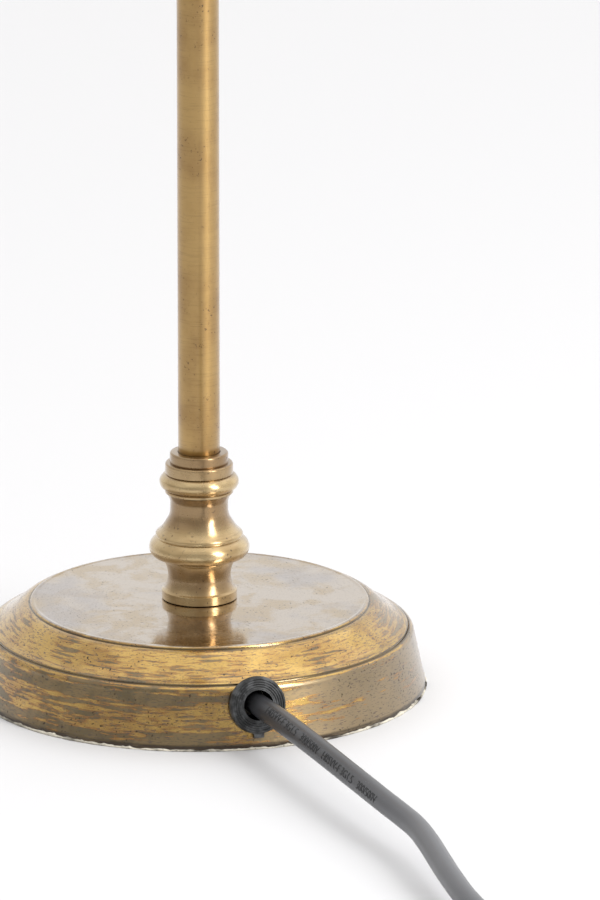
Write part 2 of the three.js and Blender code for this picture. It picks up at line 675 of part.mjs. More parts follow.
function bulbGlass() {
  const x1 = bulbX + BULB_L;
  const end = [];
  for (let i = 0; i <= 6; i += 1) {
    const angle = (Math.PI / 2) * (i / 6);
    end.push([BULB_R * Math.cos(angle), x1 - BULB_R + BULB_R * Math.sin(angle)]);
  }
  end[6][0] = 0;
  const profile = [[0, bulbX], [BULB_CAP_R, bulbX], [BULB_R - 2, bulbX + 9], [BULB_R, bulbX + 14]];
  return atArmEnd(alongX(turned([...profile, ...end], 18)));
}

addPiece("bulb_glass", bulbGlass(), "glass");

// ---- rotary switch in the shade's far end ---------------------------------------------------

const shadeEnd = shadeX + SHADE_LENGTH;
const switchFace = shadeEnd - SHADE_WALL - GAP;
const switchNutX = shadeEnd + GAP;
const bushEnd = switchNutX + SWITCH_NUT_T + 1.5;
const knobX = bushEnd + GAP;
const shaftEnd = knobX + 9;

function rotarySwitch() {
  return atArmEnd(alongX(turned([
    [0, switchFace - SWITCH_L], [SWITCH_R, switchFace - SWITCH_L], [SWITCH_R, switchFace],
    [SWITCH_BUSH_R, switchFace], [SWITCH_BUSH_R, bushEnd], [SWITCH_SHAFT_R, bushEnd],
    [SWITCH_SHAFT_R, shaftEnd], [0, shaftEnd],
  ], 16)));
}

addPiece("rotary_switch", rotarySwitch(), "phenolic");
const switchNutEnd = switchNutX + SWITCH_NUT_T;
const switchNut = ring(SWITCH_BUSH_R + GAP, SWITCH_NUT_R, switchNutX, switchNutEnd, 16);
addPiece("switch_nut", atArmEnd(alongX(switchNut)), "nickel");

function switchKnob() {
  const r = SWITCH_KNOB_R;
  const x1 = knobX + SWITCH_KNOB_T;
  return atArmEnd(alongX(turned([
    [SWITCH_SHAFT_R + RUN, knobX], [r - 1, knobX], [r, knobX + 1.2], [r - 0.6, x1 - 1.5],
    [r - 2, x1], [0, x1], [0, shaftEnd + 0.5], [SWITCH_SHAFT_R + RUN, shaftEnd + 0.5],
  ], 16)));
}

addPiece("switch_knob", switchKnob(), "phenolic");

const leadRun = SHADE_R - SHADE_WALL - SWITCH_LEAD_R - 4;
const leadFrom = switchFace - SWITCH_L - 1;
const switchLead = bar([
  [leadFrom, 0, 6], [leadFrom - 10, 0, 8], [leadFrom - 22, 0, 20], [leadFrom - 30, 0, leadRun - 6],
  [leadFrom - 42, 0, leadRun], [leadFrom - 80, 0, leadRun], [holderX + 34, 0, leadRun],
  [holderX + 16, 0, leadRun - 3], [holderX + 7, 0, leadRun - 14], [holderX + 5, 0, HOLDER_R + 3],
], SWITCH_LEAD_R, 8, 18);
addPiece("switch_lead", atArmEnd(switchLead), "pvc");

// ---- leads inside the lamp ------------------------------------------------------------------

const clampX = -BALLAST_R + 6; // the saddle grips the sheath just inside the grommet
const baseLeadEnd = MAST_BOTTOM_Z - 290;
const baseLead = bar([
  [clampX + 9, 0, GLAND_Z - 1], [-60, 0, GLAND_Z - 3], [-42, 0, 13], [-26, 0, 7.8], [-13, 0, 6],
  [-6, 0, 5.8], [-1.6, 0, 7.4], [0, 0, 11.2], [0, 0, 30], [0, 0, 90], [0, 0, baseLeadEnd],
], LEAD_R, 8, 30);
addPiece("base_lead", baseLead, "pvc");
const mastLead = disc(LEAD_R, MAST_BOTTOM_Z + 5, MAST_TOP_Z - 30, 12);
addPiece("mast_lead", mastLead, "pvc");

// ---- mains cord -----------------------------------------------------------------------------

const coilWidth = COIL_TURNS_WIDE * 2 * CORD_R + 1.8;
const coilIn = COIL_MEAN_R - coilWidth / 2;
const coilOut = COIL_MEAN_R + coilWidth / 2;
const coilTop = COIL_Z + COIL_TURNS_HIGH * 2 * CORD_R;
const atCoil = (solid) => solid.translate([COIL_X, COIL_Y, 0]);

const cordRoute = [
  [-80, 0, 19.2], [-90, 0, 19.4], [-100.4, -0.8, 19.6], [-114, -2.8, 19.6], [-131, -5.1, 19.5],
  [-154.3, -7.9, 19.3], [-177.6, -10.7, 18.9], [-199.6, -13.3, 18.4], [-221.5, -16, 17.8],
  [-242, -18.7, 17.1], [-257.7, -21.1, 16.4], [-273, -22.9, 15.7], [-291, -22.9, 14.7],
  [-311, -22, 13.3], [-331, -21.3, 11.8], [-355, -21.6, 9.8], [-378, -24.4, 7.8],
  [-402, -30, 6.6], [-427, -36.6, 6.3], [-451, -40.6, 6.2],
];
addPiece("mains_cord", bar(cordRoute, CORD_R, 10, 18), "pvc");

const coilRing = turned([
  [coilIn, COIL_Z + 2], [coilIn + 2, COIL_Z], [coilOut - 2, COIL_Z], [coilOut, COIL_Z + 2],
  [coilOut, coilTop - 2], [coilOut - 2, coilTop], [coilIn + 2, coilTop], [coilIn, coilTop - 2],
], 30);
addPiece("cord_coil", atCoil(coilRing), "pvc");

function cordTie() {
  const inner = { x0: coilIn - GAP - 1, x1: coilOut + GAP, z0: COIL_Z - 0.2, z1: coilTop + GAP };
  const w = TIE_W / 2;
  const t = TIE_T;
  const band = block(inner.x0 - t, inner.x1 + t, -w, w, inner.z0 - t, inner.z1 + t);
  const hole = block(inner.x0, inner.x1, -w - 1, w + 1, inner.z0, inner.z1);
  return atCoil(band.subtract(hole).rotate([0, 0, 20]));
}

addPiece("cord_tie", cordTie(), "nylon");

const plugZ = PLUG_BODY_R + GAP;
const tailRoute = [
  [-533.8, -38.5, 12.8], [-547, -28, 8.6], [-559, -14, 6.6], [-567, 4, 8], [-570, 21, 11.6],
  [-569, 35, 15.6], [PLUG_X, PLUG_BOOT_Y - 8, plugZ - 0.6], [PLUG_X, PLUG_BOOT_Y - 0.8, plugZ],
];
addPiece("cord_tail", bar(tailRoute, CORD_R, 10, 4), "pvc");

const plugPlace = (solid) => alongY(solid).translate([PLUG_X, PLUG_BOOT_Y, plugZ]);

function plugBody() {
  const r = PLUG_BODY_R;
  const boot = PLUG_BOOT_L;
  const end = boot + PLUG_BODY_L;
  return plugPlace(turned([
    [0, 0], [CORD_R + 1.4, 0], [CORD_R + 3.2, boot - 2], [r - 5, boot], [r - 1.2, boot + 3],
    [r, boot + 8], [r, end - 1], [r - 1, end], [0, end],
  ], 18));
}

addPiece("plug_body", plugBody(), "rubber");
for (const [name, side] of [["plug_pin_left", -1], ["plug_pin_right", 1]]) {
  const start = PLUG_BOOT_L + PLUG_BODY_L + GAP;
  const pin = turned([
    [0, start], [PIN_R, start], [PIN_R, start + PIN_L - 1.5], [PIN_R - 1, start + PIN_L],
    [0, start + PIN_L],
  ], 14);
  addPiece(name, plugPlace(pin.translate([(side * PIN_PITCH) / 2, 0, 0])), "nickel");
}

function cordClamp() {
  const z = GLAND_Z;
  const body = block(clampX - 4, clampX + 4, -LEAD_CHANNEL_W / 2 + GAP, LEAD_CHANNEL_W / 2 - GAP,
    z - CORD_R - 3, z + LEAD_CHANNEL_W / 2 - GAP);
  return body.subtract(alongX(disc(CORD_R + 2 * GAP, -BALLAST_R - 20, -40, 16)).translate([0, 0, z]));
}

addPiece("cord_clamp", cordClamp(), "nylon");

export default lamp;
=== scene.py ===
# %% [markdown]
# # A pharmacy floor lamp in aged brass
# The lamp stands on a heavy spun base. A turned neck carries a plain tube, a thinner tube slides in
# it, and an arm swings a half-barrel shade over the reader's book. The measured model gives every
# place and size, so each piece here is drawn where that model has it, in metres.

# %% Load the measured frame
import json
import math

import bmesh
import bpy
from mathutils import Matrix, Vector, noise
from mathutils.geometry import interpolate_bezier


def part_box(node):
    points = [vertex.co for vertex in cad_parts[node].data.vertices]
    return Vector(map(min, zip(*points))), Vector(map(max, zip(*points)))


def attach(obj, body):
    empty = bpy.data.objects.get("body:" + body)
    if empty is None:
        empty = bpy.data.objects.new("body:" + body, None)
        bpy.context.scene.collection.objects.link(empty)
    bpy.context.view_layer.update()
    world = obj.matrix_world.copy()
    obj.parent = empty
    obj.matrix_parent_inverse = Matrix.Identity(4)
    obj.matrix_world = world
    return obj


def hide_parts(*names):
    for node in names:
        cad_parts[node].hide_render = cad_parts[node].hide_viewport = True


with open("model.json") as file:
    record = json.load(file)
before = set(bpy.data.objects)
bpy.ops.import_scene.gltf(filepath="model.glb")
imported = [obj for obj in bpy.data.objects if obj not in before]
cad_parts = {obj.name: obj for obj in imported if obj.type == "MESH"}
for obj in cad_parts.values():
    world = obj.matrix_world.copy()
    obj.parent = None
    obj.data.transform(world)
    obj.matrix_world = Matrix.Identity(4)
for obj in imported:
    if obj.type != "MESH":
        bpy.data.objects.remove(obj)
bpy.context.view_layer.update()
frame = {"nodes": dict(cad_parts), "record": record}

MM = 0.001
scene = bpy.context.scene

# %% [markdown]
# ## The camera
# A product is best seen from well back through a long lens, so that round things stay round and
# upright things stay upright. The camera looks down by about sixteen degrees from behind the lamp.

# %% Camera
CAMERA_AZIMUTH = math.radians(-105.4)
CAMERA_PITCH = math.radians(15.86)
CAMERA_DISTANCE = 4.492
CAMERA_LENS = 400
AIM_RIGHT = 0.01003
AIM_UP = 0.02336

right = Vector((math.cos(CAMERA_AZIMUTH), math.sin(CAMERA_AZIMUTH), 0))
level = Vector((math.sin(CAMERA_AZIMUTH), -math.cos(CAMERA_AZIMUTH), 0))
back = level * math.cos(CAMERA_PITCH) + Vector((0, 0, math.sin(CAMERA_PITCH)))
up = back.cross(right)
camera_data = bpy.data.cameras.new("camera")
camera_data.lens = CAMERA_LENS
camera_data.clip_end = 60
camera = bpy.data.objects.new("camera", camera_data)
scene.collection.objects.link(camera)
place = Matrix((right, up, back)).transposed().to_4x4()
place.translation = CAMERA_DISTANCE * (AIM_RIGHT * right + AIM_UP * up + back)
camera.matrix_world = place
scene.camera = camera
scene.view_settings.view_transform = "Standard"
print("camera at", [round(v, 3) for v in place.translation])

# %% [markdown]
# ## Helpers
# Colours are chosen as sRGB hex values, because that is what a paint chart or a colour picker gives,
# and Blender wants linear numbers. One small function adds any shader node and hands back the socket
# that comes out of it, so that one node's result can be given straight to the next. Most of the
# patterns use four kinds: a noise texture makes the pattern, Map Range turns part of it into a mask
# from 0 to 1, Math joins masks, and Mix puts a colour where a mask is. A Mix node that mixes colours
# has them on its sockets 6 and 7.

# %% Helpers for materials
def linear(hex_colour):
    """Turns an sRGB hex value into the linear RGBA that a shader wants."""
    parts = [int(hex_colour[i:i + 2], 16) / 255 for i in (1, 3, 5)]
    return (*[v / 12.92 if v <= 0.04045 else ((v + 0.055) / 1.055) ** 2.4 for v in parts], 1)


def add_node(tree, kind, inputs=None, output=None, **settings):
    """Adds a node with its settings and its sockets' values or links; gives its output socket."""
    made = tree.nodes.new(kind)
    for name, value in settings.items():
        setattr(made, name, value)
    for name, value in (inputs or {}).items():
        if isinstance(value, bpy.types.NodeSocket):
            tree.links.new(value, made.inputs[name])
        else:
            made.inputs[name].default_value = value
    if output is not None:
        return made.outputs[output]
    return next((socket for socket in made.outputs if socket.enabled), None)


def new_material(name, **sockets):
    """A Principled material; sockets that are the same all over are set on the shader itself."""
    material = bpy.data.materials.new(name)
    material.use_nodes = True
    shader = material.node_tree.nodes["Principled BSDF"]
    for socket, value in sockets.items():
        shader.inputs[socket.replace("_", " ")].default_value = value
    return material, material.node_tree, shader


print("mid grey in linear light:", [round(v, 3) for v in linear("#808080")])

# %% Helpers for meshes
def turned(profile, steps=96, axis=(0, 0, 1)):
    """Spins a closed outline of (radius, height) in millimetres into a solid, as a lathe does."""
    bm = bmesh.new()
    corners = [bm.verts.new((r * MM, 0, z * MM)) for r, z in profile]
    edges = [bm.edges.new(pair) for pair in zip(corners, corners[1:] + corners[:1])]
    bmesh.ops.spin(
        bm, geom=corners + edges, cent=(0, 0, 0), axis=(0, 0, 1),
        angle=2 * math.pi, steps=steps, use_merge=True,
    )
    bmesh.ops.remove_doubles(bm, verts=bm.verts, dist=1e-6)
    bmesh.ops.dissolve_degenerate(bm, edges=bm.edges, dist=1e-7)
    bmesh.ops.recalc_face_normals(bm, faces=bm.faces)
    return lay_along(bm, axis)


def lay_along(bm, axis):
    """Turns what was made on +Z so that it lies along axis."""
    turn = Vector((0, 0, 1)).rotation_difference(Vector(axis)).to_matrix()
    bmesh.ops.rotate(bm, verts=bm.verts, cent=(0, 0, 0), matrix=turn)
    return bm


def moved(bm, x=0, y=0, z=0):
    """Shifts a bmesh by millimetres."""
    bmesh.ops.translate(bm, verts=bm.verts, vec=Vector((x, y, z)) * MM)
    return bm


def smooth_line(points, pieces=6):
    """A smooth line through (radius, height) points, for a turned curve."""
    ends = [points[0], *points, points[-1]]
    line = []
    for a, b, c, d in zip(ends, ends[1:], ends[2:], ends[3:]):
        for i in range(pieces):
            t = i / pieces
            line.append(tuple(
                0.5 * (2 * q + (r - p) * t + (2 * p - 5 * q + 4 * r - s) * t * t
                       + (3 * q - p - 3 * r + s) * t ** 3)
                for p, q, r, s in zip(a, b, c, d)
            ))
    return [*line, points[-1]]


def arc(radius, start, end, count, centre=(0, 0)):
    """Points on part of a circle, with its angles in degrees."""
    angles = [math.radians(start + (end - start) * i / count) for i in range(count + 1)]
    return [(centre[0] + radius * math.cos(a), centre[1] + radius * math.sin(a)) for a in angles]


def slab(outline, low, high):
    """Extrudes a closed outline of (x, y) points in millimetres from low to high along Z."""
    bm = bmesh.new()
    face = bm.faces.new([bm.verts.new((x * MM, y * MM, low * MM)) for x, y in outline])
    grown = bmesh.ops.extrude_face_region(bm, geom=[face])["geom"]
    raised = [g for g in grown if isinstance(g, bmesh.types.BMVert)]
    bmesh.ops.translate(bm, verts=raised, vec=(0, 0, (high - low) * MM))
    bmesh.ops.recalc_face_normals(bm, faces=bm.faces)
    return bm


def carve(bm, *tools, operation="DIFFERENCE"):
    """Cuts solids away from bm, or joins them to it, and returns the new bmesh."""
    things = []
    for part in (bm, *tools):
        mesh = bpy.data.meshes.new("carving")
        part.to_mesh(mesh)
        part.free()
        things.append(bpy.data.objects.new("carving", mesh))
        scene.collection.objects.link(things[-1])
    for tool in things[1:]:
        modifier = things[0].modifiers.new("carve", "BOOLEAN")
        modifier.operation = operation
        modifier.solver = "EXACT"
        modifier.object = tool
    result = bmesh.new()
    result.from_object(things[0], bpy.context.evaluated_depsgraph_get())
    for thing in things:
        bpy.data.meshes.remove(thing.data)
    return result


# %% Finishing a piece
BEVEL_FROM = math.radians(32)
SHARP_FROM = math.radians(40)


def finish_piece(name, bm, material, body, nodes=(), round_mm=0, segments=2):
    """Makes the object, rounds its edges, hangs it on its body, says what it rides on, and hides the
    nodes it stands for.
    """
    mesh = bpy.data.meshes.new(name)
    bm.to_mesh(mesh)
    bm.free()
    for finish in material if isinstance(material, tuple) else (material,):
        mesh.materials.append(finish)
    mesh.shade_smooth()
    piece = bpy.data.objects.new(name, mesh)
    scene.collection.objects.link(piece)
    if round_mm:
        bevel = piece.modifiers.new("rounded edges", "BEVEL")
        bevel.width = round_mm * MM
        bevel.segments = segments
        bevel.limit_method = "ANGLE"
        bevel.angle_limit = BEVEL_FROM
        bevel.harden_normals = True
    else:
        mesh.set_sharp_from_angle(angle=SHARP_FROM)
    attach(piece, body)
    if nodes:
        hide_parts(*nodes)
    print(name, "rides on", body, "with", len(mesh.polygons), "faces")
    return piece


def bent_line(name, route, radius, material, section, smoothness):
    """A cord or lead: a round section on a smooth curve through a route in millimetres."""
    curve = bpy.data.curves.new(name, "CURVE")
    curve.dimensions = "3D"
    curve.bevel_depth = radius * MM
    curve.bevel_resolution = section
    curve.resolution_u = smoothness
    curve.use_fill_caps = True
    line = curve.splines.new("BEZIER")
    line.bezier_points.add(len(route) - 1)
    for point, spot in zip(line.bezier_points, route):
        point.co = Vector(spot) * MM
        point.handle_left_type = point.handle_right_type = "AUTO"
    curve.materials.append(material)
    piece = bpy.data.objects.new(name, curve)
    scene.collection.objects.link(piece)
    return piece, line


# %% [markdown]
# ## Finishes
# The base is spun brass that was polished and lacquered long ago. Where the lacquer has gone the
# brass has browned in short streaks that run round the base, because that is how it was polished.
# A pattern on plain coordinates would cut straight across the rings, so the streaks are drawn on
# coordinates that run round the axis: the direction from the axis, and the distance along the
# outline, which is height minus radius.

# %% Coordinates that run round a turned piece
def round_coordinates(tree, radius_mm, along_mm, across_mm):
    """A vector for noise whose marks are along_mm long round the axis and across_mm wide."""
    spot = add_node(tree, "ShaderNodeTexCoord", output="Object")
    x = add_node(tree, "ShaderNodeSeparateXYZ", {0: spot})
    y, height = (x.node.outputs[1], x.node.outputs[2])
    flat = add_node(tree, "ShaderNodeCombineXYZ", {0: x, 1: y})
    radius = add_node(tree, "ShaderNodeVectorMath", {0: flat}, operation="LENGTH")
    aim = add_node(tree, "ShaderNodeVectorMath", {0: flat}, operation="NORMALIZE")
    turns = add_node(
        tree, "ShaderNodeVectorMath", {0: aim, 3: radius_mm / along_mm}, operation="SCALE",
    )
    travel = add_node(tree, "ShaderNodeMath", {0: height, 1: radius}, operation="SUBTRACT")
    across = add_node(
        tree, "ShaderNodeMath", {0: travel, 1: 1 / (across_mm * MM)}, operation="MULTIPLY",
    )
    rise = add_node(tree, "ShaderNodeCombineXYZ", {2: across})
    both = add_node(tree, "ShaderNodeVectorMath", {0: turns, 1: rise})
    return both, height, radius


# %% Where the base is worn
GROOVE_R, GROOVE_Z = 93.7, 28.2
PLATE_R, PLATE_Z = 75.9, 39.8
SHOULDER_Z = 25.2


def base_zones(tree, spot, height, radius):
    """Masks for the plate, the side wall, its two plain bands, and the side with even tarnish and
    painted light.
    """
    # The plate mask reaches over the bead's top, so the bead takes the plate's pale grey there: a
    # painted sheen.
    plate = add_node(
        tree, "ShaderNodeMapRange",
        {"Value": radius, "From Min": 0.0752, "From Max": 0.0757, "To Min": 1.0, "To Max": 0.0},
        interpolation_type="SMOOTHSTEP",
    )
    wall = add_node(
        tree, "ShaderNodeMapRange",
        {"Value": height, "From Min": 0.0262, "From Max": 0.0275, "To Min": 1.0, "To Max": 0.0},
        interpolation_type="SMOOTHSTEP",
    )
    low_band = add_node(
        tree, "ShaderNodeMapRange",
        {"Value": height, "From Min": 0.004, "From Max": 0.009, "To Min": 1.0, "To Max": 0.0},
        interpolation_type="SMOOTHSTEP",
    )
    high_band = add_node(
        tree, "ShaderNodeMath",
        {
            0: add_node(
                tree, "ShaderNodeMapRange",
                {"Value": height, "From Min": 0.0185, "From Max": 0.0225},
                interpolation_type="SMOOTHSTEP",
            ),
            1: add_node(
                tree, "ShaderNodeMapRange",
                {
                    "Value": height,
                    "From Min": 0.0236,
                    "From Max": 0.0246,
                    "To Min": 1.0,
                    "To Max": 0.0,
                },
                interpolation_type="SMOOTHSTEP",
            ),
        },
        operation="MULTIPLY",
    )
    plain_bands = add_node(
        tree, "ShaderNodeMath",
        {0: wall, 1: add_node(tree, "ShaderNodeMath", {0: low_band, 1: high_band}, operation="ADD")},
        operation="MULTIPLY",
    )
    # Towards low Y the wall's tarnish is even and its patina is painted paler; the paleness is
    # painted light.
    sideways = add_node(tree, "ShaderNodeSeparateXYZ", {0: spot}, output=1)
    leaning = add_node(
        tree, "ShaderNodeMath", {0: wall, 1: -0.035, 2: sideways}, operation="MULTIPLY_ADD",
    )
    even_tarnish_and_sheen = add_node(
        tree, "ShaderNodeMapRange",
        {"Value": leaning, "From Min": -0.075, "From Max": -0.04, "To Min": 1.0, "To Max": 0.0},
        interpolation_type="SMOOTHSTEP",
    )
    return plate, wall, plain_bands, even_tarnish_and_sheen


def base_wear(tree, streaks, broad, wall, plain_bands, even_tarnish_and_sheen):
    """How bare the metal is: low where lacquer and patina hold, high where polishing took them."""
    wear_and_shade = add_node(
        tree, "ShaderNodeMath", {0: broad, 1: 0.55, 2: streaks}, operation="MULTIPLY_ADD",
    )
    wear_and_shade = add_node(
        tree, "ShaderNodeMath", {0: plain_bands, 1: -0.16, 2: wear_and_shade}, operation="MULTIPLY_ADD",
    )
    wear_and_shade = add_node(
        tree, "ShaderNodeMath",
        {
            0: wear_and_shade,
            1: add_node(
                tree, "ShaderNodeMapRange",
                {"Value": wall, "To Min": 0.05, "To Max": -0.035},
                interpolation_type="SMOOTHSTEP",
            ),
        },
        operation="ADD",
    )
    return add_node(
        tree, "ShaderNodeMath",
        {
            0: even_tarnish_and_sheen,
            1: add_node(
                tree, "ShaderNodeMapRange",
                {"Value": wall, "To Min": -0.06, "To Max": -0.13},
                interpolation_type="SMOOTHSTEP",
            ),
            2: wear_and_shade,
        },
        operation="MULTIPLY_ADD",
    )


# %% Colours of the aged brass
def wall_colour(tree, wear_and_shade, bright, patches, dashes, even_tarnish_and_sheen):
    """Gold where it is bare, patina elsewhere, and an orange fringe between the two; the patina is
    painted paler on the evenly tarnished side.
    """
    gold = add_node(
        tree, "ShaderNodeMix",
        {
            0: add_node(
                tree, "ShaderNodeMapRange",
                {"Value": patches, "From Min": 0.4, "From Max": 0.65},
                interpolation_type="SMOOTHSTEP",
            ),
            6: linear("#C9A55C"),
            7: linear("#B48E4E"),
        },
        data_type="RGBA",
    )
    patina = add_node(
        tree, "ShaderNodeMix",
        {
            0: add_node(
                tree, "ShaderNodeMapRange",
                {"Value": patches, "From Min": 0.42, "From Max": 0.6},
                interpolation_type="SMOOTHSTEP",
            ),
            6: linear("#8B7654"),
            7: linear("#736347"),
        },
        data_type="RGBA",
    )
    patina = add_node(
        tree, "ShaderNodeMix",
        {
            0: add_node(
                tree, "ShaderNodeMapRange",
                {"Value": dashes, "From Min": 0.5, "From Max": 0.62, "To Max": 0.6},
                interpolation_type="SMOOTHSTEP",
            ),
            6: patina,
            7: linear("#6B6A50"),
        },
        data_type="RGBA",
    )
    # Paler patina #A08D70 on the evenly tarnished side: painted light.
    patina = add_node(
        tree, "ShaderNodeMix",
        {
            0: add_node(tree, "ShaderNodeMath", {0: even_tarnish_and_sheen, 1: 0.6}, operation="MULTIPLY"),
            6: patina,
            7: linear("#A08D70"),
        },
        data_type="RGBA",
    )
    colour = add_node(tree, "ShaderNodeMix", {0: bright, 6: patina, 7: gold}, data_type="RGBA")
    fringe = add_node(
        tree, "ShaderNodeMath",
        {
            0: add_node(
                tree, "ShaderNodeMapRange",
                {"Value": wear_and_shade, "From Min": 0.69, "From Max": 0.73, "To Max": 0.5},
                interpolation_type="SMOOTHSTEP",
            ),
            1: add_node(
                tree, "ShaderNodeMapRange",
                {"Value": wear_and_shade, "From Min": 0.75, "From Max": 0.8, "To Min": 1.0, "To Max": 0.0},
                interpolation_type="SMOOTHSTEP",
            ),
        },
        operation="MULTIPLY",
    )
    return add_node(
        tree, "ShaderNodeMix", {0: fringe, 6: colour, 7: linear("#A26C38")}, data_type="RGBA",
    )


def plate_colour(tree, patches, broad):
    """A warm grey film, painted pale in part as reflection of the bright backdrop, with tan and cool
    grey clouds in it.
    """
    film_and_reflection = add_node(
        tree, "ShaderNodeMix",
        {
            0: add_node(
                tree, "ShaderNodeMapRange",
                {"Value": patches, "From Min": 0.42, "From Max": 0.6},
                interpolation_type="SMOOTHSTEP",
            ),
            6: linear("#C3B6A8"),
            7: linear("#B69F7C"),
        },
        data_type="RGBA",
    )
    return add_node(
        tree, "ShaderNodeMix",
        {
            0: add_node(
                tree, "ShaderNodeMapRange",
                {"Value": broad, "From Min": 0.5, "From Max": 0.64, "To Max": 0.6},
                interpolation_type="SMOOTHSTEP",
            ),
            6: film_and_reflection,
            7: linear("#A29C9F"),
        },
        data_type="RGBA",
    )


def edge_grime(tree, colour, height, radius, streaks):
    """Dark lines in the groove and round the plate, and a dark broken band along the rim."""
    edges = (
        (height, GROOVE_Z - 0.9, GROOVE_Z - 0.55, GROOVE_Z + 0.15, GROOVE_Z + 0.5),
        (radius, PLATE_R - 0.25, PLATE_R + 0.05, PLATE_R + 0.55, PLATE_R + 1.0),
    )
    for measure, start, full, fade, end in edges:
        enter = add_node(
            tree, "ShaderNodeMapRange",
            {"Value": measure, "From Min": start * MM, "From Max": full * MM},
            interpolation_type="SMOOTHSTEP",
        )
        leave = add_node(
            tree, "ShaderNodeMapRange",
            {
                "Value": measure,
                "From Min": fade * MM,
                "From Max": end * MM,
                "To Min": 1.0,
                "To Max": 0.0,
            },
            interpolation_type="SMOOTHSTEP",
        )
        line = add_node(
            tree, "ShaderNodeMath",
            {
                0: add_node(tree, "ShaderNodeMath", {0: enter, 1: leave}, operation="MULTIPLY"),
                1: 0.82,
            },
            operation="MULTIPLY",
        )
        colour = add_node(
            tree, "ShaderNodeMix", {0: line, 6: colour, 7: linear("#4A3F2C")}, data_type="RGBA",
        )
    foot = add_node(
        tree, "ShaderNodeMapRange",
        {"Value": height, "From Min": 0.0019, "From Max": 0.0034, "To Min": 1.0, "To Max": 0.0},
        interpolation_type="SMOOTHSTEP",
    )
    foot = add_node(
        tree, "ShaderNodeMath",
        {
            0: foot,
            1: add_node(
                tree, "ShaderNodeMapRange",
                {"Value": streaks, "From Min": 0.35, "From Max": 0.5, "To Min": 0.5, "To Max": 0.95},
                interpolation_type="SMOOTHSTEP",
            ),
        },
        operation="MULTIPLY",
    )
    return add_node(
        tree, "ShaderNodeMix", {0: foot, 6: colour, 7: linear("#35291C")}, data_type="RGBA",
    )


